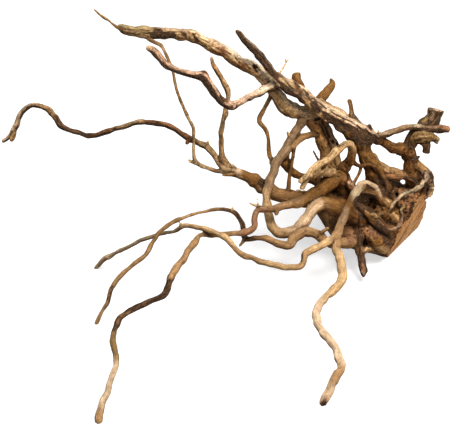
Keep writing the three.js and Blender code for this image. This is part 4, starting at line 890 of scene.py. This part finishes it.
def tubes(name, runs):
    """One mesh of closed tubes that swell and narrow along the limbs' middle lines."""
    curve = bpy.data.curves.new(name, "CURVE")
    curve.dimensions = "3D"
    curve.bevel_depth = MM
    curve.bevel_resolution = 3
    curve.resolution_u = 3
    curve.use_fill_caps = True
    for run_name, points in runs.items():
        knots = smooth_path(run_name, points)
        spline = curve.splines.new("BEZIER")
        spline.bezier_points.add(len(knots) - 1)
        for knot, (here, radius, before, after, _) in zip(spline.bezier_points, knots):
            knot.handle_left_type = "FREE"
            knot.handle_right_type = "FREE"
            knot.co = here
            knot.handle_left = before
            knot.handle_right = after
            knot.radius = radius / MM
    piece = bpy.data.objects.new(name, curve)
    bpy.context.collection.objects.link(piece)
    select_only(piece)
    bpy.ops.object.convert(target="MESH")
    return bpy.context.object


def apply_modifier(piece, kind, **settings):
    select_only(piece)
    modifier = piece.modifiers.new(kind.title(), kind)
    for key, value in settings.items():
        setattr(modifier, key, value)
    bpy.ops.object.modifier_apply(modifier=modifier.name)


def remesh(piece, size):
    apply_modifier(piece, "REMESH", mode="VOXEL", voxel_size=size * MM, adaptivity=0)


def cut_away(piece, cutter):
    apply_modifier(piece, "BOOLEAN", operation="DIFFERENCE", solver="MANIFOLD", object=cutter)
    bpy.data.objects.remove(cutter)


def join(first, second):
    deselect_all()
    second.select_set(True)
    first.select_set(True)
    bpy.context.view_layer.objects.active = first
    bpy.ops.object.join()
    return bpy.context.object


def on_sheet(points, at):
    """Where on the sheet a limb is, part of the way between two of its points."""
    first = min(int(at), len(points) - 1)
    second = min(first + 1, len(points) - 1)
    share = at - int(at)
    return [points[first][i] * (1 - share) + points[second][i] * share for i in (0, 1)]


def middle_lines(runs):
    """Closely spaced points along every limb's middle line, with what lies across and along it there."""
    rows = {key: [] for key in ("centre", "radius", "along", "limb", "sheet", "side", "other", "way")}
    for limb, (name, points) in enumerate(runs.items()):
        knots = smooth_path(name, points)
        side = None
        along = 0.0
        for i in range(len(knots) - 1):
            start, start_radius, _, after, mark = knots[i]
            end, end_radius, before, _, next_mark = knots[i + 1]
            steps = max(2, round((end - start).length / (2 * MM))) + 1
            line = interpolate_bezier(start, after, before, end, steps)
            for j in range(steps - 1):
                share = j / (steps - 1)
                way = (line[j + 1] - line[j]).normalized()
                side = way.orthogonal() if side is None else side - way * side.dot(way)
                side.normalize()
                rows["centre"].append(line[j] / MM)
                rows["radius"].append((start_radius + (end_radius - start_radius) * share) / MM)
                rows["along"].append(along / MM)
                rows["limb"].append(limb)
                rows["sheet"].append(on_sheet(points, mark + (next_mark - mark) * share))
                rows["side"].append(side.copy())
                rows["other"].append(way.cross(side))
                rows["way"].append(way)
                along += (line[j + 1] - line[j]).length
    return {key: np.array(values, dtype=np.float32) for key, values in rows.items()}


def nearest_wood(spots, lines):
    """For each spot, which point of the middle lines has its bark nearest."""
    centres = lines["centre"]
    squares = (centres**2).sum(1)
    nearest = np.empty(len(spots), dtype=int)
    for start in range(0, len(spots), SPOTS_AT_ONCE):
        some = spots[start : start + SPOTS_AT_ONCE]
        gaps = (some**2).sum(1)[:, None] + squares - 2 * some @ centres.T
        gaps = np.sqrt(np.maximum(gaps, 0)) - lines["radius"]
        nearest[start : start + SPOTS_AT_ONCE] = gaps.argmin(1)
    return nearest


def grain_space(spots, lines, nearest):
    """Each spot as if its limb were straight: across, across the other way, and along, in millimetres."""
    offset = spots - lines["centre"][nearest]
    across = (offset * lines["side"][nearest]).sum(1)
    other = (offset * lines["other"][nearest]).sum(1)
    along = lines["along"][nearest] + (offset * lines["way"][nearest]).sum(1)
    return np.stack([across, other, along], 1)


def rough(spots):
    """Smooth noise from about -1 to 1 at each spot."""
    return np.array([noise.noise(spot) for spot in spots.tolist()])


def mesh_values(piece, field):
    values = np.empty(len(piece.data.vertices) * 3, dtype=np.float32)
    piece.data.vertices.foreach_get(field, values)
    return values.reshape(-1, 3)


def mesh_spots(piece):
    return mesh_values(piece, "co") / MM


def saw_distance(spots):
    """How far each spot lies from the plane of the saw cut, in millimetres."""
    facing = np.array(sheet_way(*SAW_FACING))
    return (spots - spot_of(SAW_POINT)) @ facing


def sawn_share(spots, normals):
    """Which points of the mesh are on the sawn face, from 0 to 1."""
    facing = np.array(sheet_way(*SAW_FACING))
    flat = (np.abs(saw_distance(spots)) < CUT_DEPTH) & (normals @ facing > CUT_FACING)
    across, down = sheet_places(spots)
    downs = [corner[1] for corner in SAW_EDGE]
    rights = [corner[0] for corner in SAW_EDGE]
    firm = across > np.interp(down, downs, rights) + rough(spots / 3) * 2.4
    below = down > SAW_EDGE[0][1]
    return (flat & below & firm).astype(float)


def pits(spots, size, mouth):
    """Round holes scattered over the spots, from 0 outside to 1 in their middles."""
    near = np.array([noise.voronoi(spot)[0][0] for spot in (spots / size).tolist()])
    return np.clip(1 - near / mouth, 0, 1)


def graininess(lines, nearest, names):
    """How much relief and grain each point of the mesh has: less on the limbs that are worn smooth."""
    smooth = [names.index(name) for name in SMOOTH_LIMBS]
    return np.where(np.isin(lines["limb"][nearest], smooth), SMOOTH_SHARE, 1.0)


def raise_relief(piece, lines, names, stump_from):
    """Grows flutes, lumps, grain ridges and cracks on the limbs, and crumbling wood on the stump."""
    spots = mesh_spots(piece)
    normals = mesh_values(piece, "normal")
    nearest = nearest_wood(spots, lines)
    straight = grain_space(spots, lines, nearest)
    radius = np.minimum(lines["radius"][nearest], 9)
    limb = lines["limb"][nearest]
    shift = limb[:, None] * np.array(LIMB_SHIFT)
    sawn = sawn_share(spots, normals)
    on_stump = (limb >= stump_from) * (1 - sawn)
    on_limb = (limb < stump_from) * (1 - sawn)

    thick = np.maximum(radius, 1.5)[:, None]
    round_limb = straight * np.array(ROUND_SCALE) / thick
    flutes = rough(round_limb + straight * np.array(FLUTE_SCALE) + shift)
    lumps = rough(spots / 7 + shift)
    knobs = rough(straight * np.array(KNOB_SCALE) + round_limb * 0.5 + shift * 2)
    ridges = rough(straight * np.array(RIDGE_SCALE) + shift)
    splits = 1 - np.abs(rough(straight * np.array(CRACK_SCALE) + shift * 3)) * 9
    splits = np.clip(splits, 0, 1) * np.clip(rough(spots / 11 + 7) * 4 + 0.3, 0, 1)

    lift = radius * (FLUTE * flutes + LUMP * lumps + KNOB * knobs)
    lift += np.minimum(RIDGE, radius * 0.1) * ridges
    lift -= CRACK * splits * np.clip((radius - 1.6) / 4, 0, 1)
    lift -= SCAR * pits(spots + 30, 17, 0.12) * np.clip((radius - 1.2) / 3, 0, 1)
    lift *= on_limb * graininess(lines, nearest, names)

    crumbs = rough(spots / 11) * 1.3 - np.abs(rough(spots / 6 + 20)) * 1.8
    crumbs += rough(spots / 2.6 + 40) * 0.9 - np.abs(rough(spots / 1.9 + 50)) * 0.7 + 0.6
    patchy = np.clip(rough(spots / 10 + 60) * 2.5 + 0.5, 0, 1)
    holes = np.zeros(len(spots))
    here = on_stump > 0
    holes[here] = pits(spots[here], 6.5, 0.36) * 1.6 + pits(spots[here] + 50, 3.2, 0.4) * 1.3
    across, down = sheet_places(spots)
    across = across + rough(spots / 8) * 4
    crumbly = np.clip((across - CRUMBLY_FROM) / 6, 0.15, 1) * np.clip((SMOOTH_BELOW - down) / 3, 0.2, 1)
    lift += on_stump * CRUMB * crumbly * (crumbs - holes * patchy)
    lift += SWELL

    for knot in KNOTS:
        middle = spot_of(knot)
        reach = np.linalg.norm(spots - middle, axis=1) / knot[3]
        ring = np.cos(np.clip(reach, 0, 1.6) * math.pi * 2.2) * np.clip(1.6 - reach, 0, 1)
        lift += KNOT_RING * ring

    for (near, closeness), stroke in zip(strokes_at(spots, normals, piece), STROKES):
        lift[near] += stroke[2] * np.clip(closeness * 1.6, 0, 1)

    across_cut = rough(cut_space(spots) * np.array(SAW_MARK_SCALE))
    lift += sawn * SAW_MARK * (across_cut * 2 + rough(spots / 2.5))
    spots += normals * lift[:, None]
    piece.data.vertices.foreach_set("co", (spots * MM).astype(np.float32).ravel())
    piece.data.update()


def cut_frame():
    """The saw cut's own ways: along it, across it, and out of it."""
    out = sheet_way(*SAW_FACING)
    along = sheet_way(0.74, -0.68, 0)
    along = (along - out * along.dot(out)).normalized()
    return along, out.cross(along), out


def cut_space(spots):
    """Each spot as seen square on to the saw cut, in millimetres."""
    return (spots - spot_of(SAW_POINT)) @ np.array(cut_frame()).T


def thin_out(piece, faces):
    piece.data.calc_loop_triangles()
    share = faces / len(piece.data.loop_triangles)
    if share < 1:
        apply_modifier(piece, "DECIMATE", ratio=share)


def saw_block(through, facing, reach):
    """A block that takes away everything beyond a saw cut through a point of the sheet."""
    deselect_all()
    turn = facing.to_track_quat("Z", "Y").to_euler()
    middle = place(through) + facing * reach / 2
    bpy.ops.mesh.primitive_cube_add(size=reach, location=middle, rotation=turn)
    return bpy.context.object


def table_block():
    """A block just under the surface that the root lies on, which takes a little off each low point."""
    deselect_all()
    bpy.ops.mesh.primitive_cube_add(size=TABLE_SIZE, location=(0, 0, -TABLE_SIZE / 2))
    return bpy.context.object


def linear(colour):
    """A colour out of 255 in the linear values that materials use."""
    shares = np.array(colour[:3]) / 255
    return np.where(shares <= 0.04045, shares / 12.92, ((shares + 0.055) / 1.055) ** 2.4)


def smoothed(values, edges, rounds):
    """Values at the mesh's points, each mixed with its neighbours' a few times."""
    count = np.bincount(edges.ravel(), minlength=len(values))[:, None]
    count = np.maximum(count, 1)
    for _ in range(rounds):
        total = np.zeros_like(values)
        for column in range(values.shape[1]):
            total[:, column] += np.bincount(edges[:, 0], values[edges[:, 1], column], len(values))
            total[:, column] += np.bincount(edges[:, 1], values[edges[:, 0], column], len(values))
        values = values * 0.5 + 0.5 * total / count
    return values


def limb_finishes(lines, names):
    """The finish at each point of the middle lines, from its limb and the stretches that differ."""
    finish = np.full(len(lines["limb"]), finish_number("tan"))
    for kind, limbs in LIMB_FINISHES.items():
        finish[np.isin(lines["limb"], [names.index(name) for name in limbs])] = finish_number(kind)
    right, down = lines["sheet"].T
    for name, stretches in STRETCHES.items():
        on_limb = lines["limb"] == names.index(name)
        for left, far, top, bottom, kind in stretches:
            across = (right >= left) & (right <= far)
            finish[on_limb & across & (down >= top) & (down <= bottom)] = finish_number(kind)
    return finish


def wood_finishes(piece, lines, names, spots, normals, nearest):
    """The finish at each point of the mesh: its limb's, or that of a dark side, a stroke or a patch; dark
    sides and many strokes lay on painted shade and highlights.
    """
    finish = limb_finishes(lines, names)[stray_along(nearest, lines, spots)]
    ragged = rough(spots / 4 + 90) * 0.4
    limb = lines["limb"][nearest]
    for name, other, facing, begins in DARK_SIDES:
        turned = normals @ np.array(sheet_way(*facing)) + ragged
        finish[(limb == names.index(name)) & (turned > begins)] = finish_number(other)
    for (near, closeness), stroke in zip(strokes_at(spots, normals, piece), STROKES):
        finish[near[closeness + ragged[near] * 0.5 > 0]] = finish_number(stroke[3])
    for patch in PATCHES:
        away = np.linalg.norm(spots - spot_of(patch), axis=1) / patch[3]
        finish[away + ragged < 1] = finish_number(patch[4])
    return finish


def finish_number(name):
    return list(FINISHES).index(name)


def stray_along(nearest, lines, spots):
    """The middle-line points a few millimetres up or down the same limb, so that finishes meet raggedly."""
    strayed = nearest + np.round(rough(spots / 5) * 7 + rough(spots / 2) * 3).astype(int)
    strayed = np.clip(strayed, 0, len(lines["limb"]) - 1)
    return np.where(lines["limb"][strayed] == lines["limb"][nearest], strayed, nearest)


def hollowness(spots, normals, edges):
    """How far each point of the mesh lies in a crease, above 0, or on an edge, below 0."""
    step = spots[edges[:, 1]] - spots[edges[:, 0]]
    turn = normals[edges[:, 1]] - normals[edges[:, 0]]
    bend = (step * turn).sum(1) / np.maximum((step**2).sum(1), 0.05)
    total = np.bincount(edges[:, 0], bend, len(spots)) + np.bincount(edges[:, 1], bend, len(spots))
    return -total / np.maximum(np.bincount(edges.ravel(), minlength=len(spots)), 1)


def shelter(piece, spots, normals):
    """How much of the sky is hidden from each point of the mesh by wood near it, from 0 to 1: it darkens
    the colour as painted shade.
    """
    tree = BVHTree.FromObject(piece, bpy.context.evaluated_depsgraph_get())
    hidden = np.zeros(len(spots))
    total = np.full(len(spots), 0.001)
    for way in SKY_WAYS:
        way = Vector(way).normalized()
        weight = np.clip(normals @ np.array(way) + 0.2, 0, 1)
        starts = (spots + normals * 0.6) * MM
        for i in np.nonzero(weight > 0.05)[0].tolist():
            total[i] += weight[i]
            if tree.ray_cast(Vector(starts[i]), way, SHELTER_REACH)[0] is not None:
                hidden[i] += weight[i]
    return hidden / total


def store(piece, name, kind, values):
    attribute = piece.data.attributes.new(name, kind, "POINT")
    field = "vector" if kind == "FLOAT_VECTOR" else "color" if kind == "FLOAT_COLOR" else "value"
    attribute.data.foreach_set(field, np.asarray(values, dtype=np.float32).ravel())


def mark_surface(piece, lines, names):
    """Writes what the materials read: the grain's own space, the wood's colour with painted shade and
    highlights, bark, creases, and how deep wood lies in hollows for painted shade.
    """
    spots = mesh_spots(piece)
    edges = np.empty(len(piece.data.edges) * 2, dtype=np.int32)
    piece.data.edges.foreach_get("vertices", edges)
    edges = edges.reshape(-1, 2)
    nearest = nearest_wood(spots, lines)
    straight = grain_space(spots, lines, nearest)
    straight[:, 2] += lines["limb"][nearest] * 37.0
    normals = mesh_values(piece, "normal")
    finish = wood_finishes(piece, lines, names, spots, normals, nearest)
    values = np.array([(*linear(FINISHES[name]), FINISHES[name][3]) for name in FINISHES])[finish]
    values = smoothed(values, edges, 3)
    # Painted shade on undersides and on wood that other wood hides from the sky, and a painted highlight on
    # tops.
    underside_shade = np.clip(0.35 - 0.65 * normals[:, 2], 0, 1)[:, None]
    hidden = smoothed(shelter(piece, spots, normals)[:, None], edges, 2)
    colour = values[:, :3] * (1 - underside_shade * (1 - np.array(UNDERSIDE_SHADE_TINT)))
    colour = colour * (1 - hidden * (1 - np.array(SHELTER_SHADE_TINT)))
    top = np.clip(normals[:, 2], 0, 1)[:, None] * (1 - hidden)
    colour = colour * (1 + top * np.array(TOP_HIGHLIGHT_GAIN))
    crumbly = np.isin(finish, [finish_number("crumb"), finish_number("ash")]).astype(float)
    rot = smoothed(crumbly[:, None], edges, 4)
    bark = values[:, 3] + np.clip(-normals[:, 2], 0, 1) * 0.12
    gaps = np.linalg.norm(spots - lines["centre"][nearest], axis=1) - lines["radius"][nearest]
    # How far each point lies inside its limb's traced outline, as in hollows and gaps, fading out near the
    # saw cut: it darkens the wood there as painted shade.
    recess_shade = np.clip(-gaps / 7 - 0.25, 0, 1)
    recess_shade *= np.clip(-saw_distance(spots) / 3 - 0.4, 0, 1)
    crease = smoothed(hollowness(spots, normals, edges)[:, None], edges, 1)[:, 0]
    crease += 0.55 / np.maximum(lines["radius"][nearest], 1.5)
    store(piece, "grain_space", "FLOAT_VECTOR", straight)
    store(piece, "wood_tone_with_painted_light", "FLOAT_COLOR", np.concatenate([colour, np.ones((len(colour), 1))], 1))
    store(piece, "bark", "FLOAT", bark)
    store(piece, "rot", "FLOAT", rot)
    store(piece, "grainy", "FLOAT", smoothed(graininess(lines, nearest, names)[:, None], edges, 3))
    store(piece, "recess_shade", "FLOAT", recess_shade)
    store(piece, "crease", "FLOAT", np.clip(crease * 1.6, -1, 1))


def grow_root():
    """The whole root as one piece."""
    grain = FINE_GRAIN * 1
    hollows = tubes("hollows", HOLLOWS)
    remesh(hollows, STUMP_GRAIN)
    stump = tubes("stump", STUMP)
    remesh(stump, STUMP_GRAIN)
    cut_away(stump, hollows)
    root = join(tubes("root", LIMBS), stump)
    remesh(root, JOINED_GRAIN)
    late = tubes("late_hollows", LATE_HOLLOWS)
    remesh(late, JOINED_GRAIN)
    cut_away(root, late)
    cut_away(root, saw_block(SAW_POINT, sheet_way(*SAW_FACING), SAW_REACH))
    for through, facing, reach in END_CUTS:
        cut_away(root, saw_block(through, sheet_way(*facing), reach))
    root = join(root, tubes("late_limbs", LATE_LIMBS))
    remesh(root, grain)

    grown = {**LIMBS, **LATE_LIMBS, **STUMP}
    names = list(grown)
    lines = middle_lines(grown)
    apply_modifier(root, "SMOOTH", factor=0.5, iterations=2)
    raise_relief(root, lines, names, len(LIMBS) + len(LATE_LIMBS))
    thin_out(root, FACES_KEPT)
    cut_away(root, table_block())
    root.name = "spiderwood"
    root.data.name = "spiderwood"
    mark_surface(root, lines, names)
    finish_faces(root)
    return root


def finish_faces(root):
    """Gives the sawn faces their own finish, and smooths the shading of the rest."""
    root.data.materials.clear()
    root.data.materials.append(root_wood())
    root.data.materials.append(sawn_wood())
    root.data.materials.append(sawn_end())
    sawn = sawn_share(mesh_spots(root), mesh_values(root, "normal"))
    ends = [(place(through), sheet_way(*facing)) for through, facing, _ in END_CUTS]
    for face in root.data.polygons:
        if sawn[list(face.vertices)].mean() > 0.5:
            face.material_index = 1
        for through, facing in ends:
            beyond = (face.center - through).dot(facing)
            near = (face.center - through).length < END_SIZE * MM
            if near and abs(beyond) < END_DEPTH * MM and face.normal.dot(facing) > CUT_FACING:
                face.material_index = 2
    select_only(root)
    bpy.ops.object.shade_smooth_by_angle(angle=math.radians(60))


def new_material(name):
    material = bpy.data.materials.new(name)
    material.use_nodes = True
    tree = material.node_tree
    return material, tree, tree.nodes["Principled BSDF"]


def add_node(tree, kind, output, inputs, **settings):
    """Adds a node, sets its inputs or links them to other nodes, and gives the output asked for."""
    node = tree.nodes.new("ShaderNode" + kind)
    for key, value in settings.items():
        setattr(node, key, value)
    for key, value in inputs.items():
        if isinstance(value, bpy.types.NodeSocket):
            tree.links.new(value, node.inputs[key])
        else:
            node.inputs[key].default_value = value
    return node.outputs[output]


def attribute(tree, name, socket):
    return add_node(tree, "Attribute", socket, {}, attribute_name=name)


def stretched(tree, vector, scale):
    """The same coordinates, made finer or coarser along each way."""
    return add_node(tree, "Mapping", "Vector", {"Scale": scale, "Vector": vector})


def noise_of(tree, vector, scale=1.0, detail=3.0, roughness=0.55, distortion=0.0):
    inputs = {"Scale": scale, "Detail": detail, "Roughness": roughness, "Distortion": distortion}
    return add_node(tree, "TexNoise", "Fac", {**inputs, "Vector": vector})


def ranged(tree, value, low, high, to_low, to_high):
    inputs = {"From Min": low, "From Max": high, "To Min": to_low, "To Max": to_high}
    return add_node(tree, "MapRange", "Result", {**inputs, "Value": value})


def maths(tree, operation, first, second):
    return add_node(tree, "Math", "Value", {0: first, 1: second}, operation=operation)


def times(tree, *values):
    total = values[0]
    for value in values[1:]:
        total = maths(tree, "MULTIPLY", total, value)
    return total


def scaled_colour(tree, colour, amount):
    return add_node(tree, "VectorMath", "Vector", {0: colour, "Scale": amount}, operation="SCALE")


def mixed(tree, share, first, second):
    node = tree.nodes.new("ShaderNodeMix")
    node.data_type = "RGBA"
    tree.links.new(share, node.inputs["Factor"])
    sockets = [socket for socket in node.inputs if socket.type == "RGBA"]
    for socket, value in zip(sockets, (first, second)):
        if isinstance(value, tuple):
            socket.default_value = value
        else:
            tree.links.new(value, socket)
    return next(socket for socket in node.outputs if socket.type == "RGBA")


def bumped(tree, height, distance, strength, before=None):
    inputs = {"Distance": distance, "Strength": strength, "Height": height}
    if before is not None:
        inputs["Normal"] = before
    return add_node(tree, "Bump", "Normal", inputs)


def object_coordinates(tree):
    return add_node(tree, "TexCoord", "Object", {})


def paint(colour):
    return (*linear(colour), 1.0)


def root_wood():
    """Worn wood: long streaks along the grain, specks, painted shade in creases and hollows, lighter sharp
    edges, and bark where it's left.
    """
    material, tree, shader = new_material("root_wood")
    grain = attribute(tree, "grain_space", "Vector")
    bark = attribute(tree, "bark", "Fac")
    crease = attribute(tree, "crease", "Fac")
    recess_shade = attribute(tree, "recess_shade", "Fac")
    rot = attribute(tree, "rot", "Fac")
    spot = object_coordinates(tree)

    streaks = noise_of(tree, stretched(tree, grain, (0.5, 0.5, 0.05)), detail=5, distortion=0.4)
    fibres = noise_of(tree, stretched(tree, grain, (2.0, 2.0, 0.16)), detail=4)
    blotches = noise_of(tree, spot, scale=95, detail=5)
    specks = noise_of(tree, spot, scale=520, detail=2)
    flakes = noise_of(tree, stretched(tree, grain, (0.34, 0.34, 0.075)), detail=6, roughness=0.65)
    crackle = noise_of(tree, stretched(tree, grain, (0.9, 0.9, 0.5)), detail=6, roughness=0.7)
    pores = noise_of(tree, spot, scale=340, detail=4, roughness=0.65)
    pore_shade = ranged(tree, pores, 0.4, 0.52, 0.42, 1.08)
    rot_shade = maths(tree, "SUBTRACT", 1, times(tree, rot, maths(tree, "SUBTRACT", 1, pore_shade)))

    grainy = attribute(tree, "grainy", "Fac")
    figure = times(
        tree,
        ranged(tree, streaks, 0.3, 0.7, 0.58, 1.36),
        ranged(tree, fibres, 0.3, 0.7, 0.55, 1.42),
        ranged(tree, blotches, 0.35, 0.65, 0.72, 1.2),
        ranged(tree, pores, 0.38, 0.62, 0.68, 1.32),
        ranged(tree, specks, 0.6, 0.65, 1.0, 0.45),
    )
    figure = maths(tree, "ADD", 1, times(tree, grainy, maths(tree, "SUBTRACT", figure, 1)))
    # The grain's figure and the pits of crumbly wood, times painted shade in creases and hollows; sharp
    # edges come out a little lighter.
    shade = times(
        tree,
        figure,
        rot_shade,
        ranged(tree, crease, 0.04, 0.42, 1.0, 0.24),
        ranged(tree, crease, -0.3, 0.0, 1.2, 1.0),
        ranged(tree, recess_shade, 0.0, 0.75, 1.0, 0.12),
    )
    bare_wood_and_painted_shade = scaled_colour(tree, attribute(tree, "wood_tone_with_painted_light", "Color"), shade)
    left_on = maths(tree, "ADD", flakes, bark)
    left_on = ranged(tree, left_on, 0.88, 1.0, 0.0, 1.0)
    dark = mixed(tree, ranged(tree, crackle, 0.4, 0.65, 1.0, 0.0), paint(BARK_BROWN), paint(BARK_BLACK))
    lit = ranged(tree, fibres, 0.3, 0.7, 0.7, 1.45)
    lit = times(tree, lit, ranged(tree, streaks, 0.35, 0.65, 0.6, 1.7))
    dark = scaled_colour(tree, dark, lit)
    colour = mixed(tree, left_on, bare_wood_and_painted_shade, dark)
    tree.links.new(colour, shader.inputs["Base Color"])

    tree.links.new(ranged(tree, streaks, 0.3, 0.7, 0.92, 0.68), shader.inputs["Roughness"])
    shader.inputs["Specular IOR Level"].default_value = 0.1
    normal = bumped(tree, fibres, 0.0007, 0.8)
    normal = bumped(tree, streaks, 0.0024, 0.7, normal)
    normal = bumped(tree, blotches, 0.0016, 0.35, normal)
    normal = bumped(tree, maths(tree, "MULTIPLY", left_on, crackle), 0.0012, 0.7, normal)
    normal = bumped(tree, maths(tree, "MULTIPLY", rot, pores), 0.003, 0.9, normal)
    tree.links.new(normal, shader.inputs["Normal"])
    return material


def sawn_wood():
    """The saw cut across the stump: paler wood with streaks along the cut and fine marks of the teeth."""
    material, tree, shader = new_material("sawn_wood")
    turn = Matrix(cut_frame()).transposed().to_euler()
    inputs = {"Location": place(SAW_POINT), "Rotation": turn, "Vector": object_coordinates(tree)}
    spot = add_node(tree, "Mapping", "Vector", inputs, vector_type="TEXTURE")

    streaks = noise_of(tree, stretched(tree, spot, (22, 260, 260)), detail=6, distortion=0.6)
    blotches = noise_of(tree, spot, scale=60, detail=4)
    teeth = noise_of(tree, stretched(tree, spot, (900, 60, 60)), detail=2)
    colour = mixed(tree, ranged(tree, streaks, 0.4, 0.6, 0.0, 1.0), paint(SAWN_DARK), paint(SAWN_PALE))
    colour = mixed(tree, ranged(tree, blotches, 0.4, 0.7, 0.0, 0.75), colour, paint(SAWN_GOLD))
    shade = ranged(tree, teeth, 0.3, 0.7, 0.72, 1.2)
    tree.links.new(scaled_colour(tree, colour, shade), shader.inputs["Base Color"])
    tree.links.new(ranged(tree, streaks, 0.3, 0.7, 0.85, 0.7), shader.inputs["Roughness"])
    shader.inputs["Specular IOR Level"].default_value = 0.25
    normal = bumped(tree, streaks, 0.0008, 0.5)
    normal = bumped(tree, teeth, 0.0003, 0.4, normal)
    tree.links.new(normal, shader.inputs["Normal"])
    return material


def sawn_end():
    """The ends of limbs that were sawn off, greyer than the cut across the stump."""
    material, tree, shader = new_material("sawn_end")
    mottle = noise_of(tree, object_coordinates(tree), scale=420, detail=4)
    shade = ranged(tree, mottle, 0.3, 0.7, 0.7, 1.15)
    tree.links.new(scaled_colour(tree, paint(SAWN_END)[:3], shade), shader.inputs["Base Color"])
    tree.links.new(bumped(tree, mottle, 0.0005, 0.5), shader.inputs["Normal"])
    shader.inputs["Roughness"].default_value = 0.85
    return material


def lay_floor():
    deselect_all()
    bpy.ops.mesh.primitive_plane_add(size=9, location=(0, 0, -0.0003))
    floor = bpy.context.object
    floor.name = "floor"
    material, tree, shader = new_material("pale_floor")
    dust = noise_of(tree, object_coordinates(tree), scale=3, detail=2)
    colour = mixed(tree, dust, (0.6, 0.6, 0.6, 1), (0.58, 0.58, 0.58, 1))
    tree.links.new(colour, shader.inputs["Base Color"])
    shader.inputs["Roughness"].default_value = 0.9
    shader.inputs["Emission Color"].default_value = (1, 1, 1, 1)
    shader.inputs["Emission Strength"].default_value = 0.55
    floor.data.materials.append(material)
    floor.visible_diffuse = False


def hang_light(name, place_at, size, power, tint):
    light = bpy.data.lights.new(name, "AREA")
    light.size = size
    light.energy = power
    light.color = tint
    lamp = bpy.data.objects.new(name, light)
    lamp.location = place_at
    aim = Vector((0, 0.02, 0.08)) - lamp.location
    lamp.rotation_euler = aim.to_track_quat("-Z", "Y").to_euler()
    bpy.context.collection.objects.link(lamp)


def light_studio():
    """Soft light from above and a little to the right, low light on the saw cut, and less from below."""
    hang_light("key_light", (0.45, -0.38, 1.45), 0.75, 33, (1.0, 0.985, 0.96))
    hang_light("fill_light", (-1.3, -1.2, 1.0), 1.4, 4, (0.97, 0.98, 1.0))
    hang_light("side_light", (1.05, -0.5, 0.12), 0.3, 4.0, (1.0, 0.95, 0.88))
    world = bpy.data.worlds.new("studio")
    world.use_nodes = True
    tree = world.node_tree
    height = add_node(tree, "SeparateXYZ", "Z", {0: add_node(tree, "TexCoord", "Generated", {})})
    glow = ranged(tree, height, 0.0, 0.9, 0.09, 0.44)
    tree.links.new(glow, tree.nodes["Background"].inputs["Strength"])
    tree.nodes["Background"].inputs["Color"].default_value = (1, 1, 1, 1)
    bpy.context.scene.world = world
    bpy.context.scene.view_settings.view_transform = "Standard"


def set_camera():
    """In front and above, where the photograph was taken from."""
    sensor = 36
    width = 460
    camera = bpy.data.cameras.new("camera")
    camera.sensor_fit = "HORIZONTAL"
    camera.sensor_width = sensor
    camera.lens = sensor * EYE_DISTANCE / width
    camera.shift_y = 0.5 / width
    holder = bpy.data.objects.new("camera", camera)
    holder.location = eye_place()
    holder.rotation_euler = (math.pi / 2 - EYE_TILT, 0, 0)
    bpy.context.collection.objects.link(holder)
    bpy.context.scene.camera = holder


set_camera()
light_studio()
lay_floor()
spiderwood = grow_root()
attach(spiderwood, "root")
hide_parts("spiderwood_root")
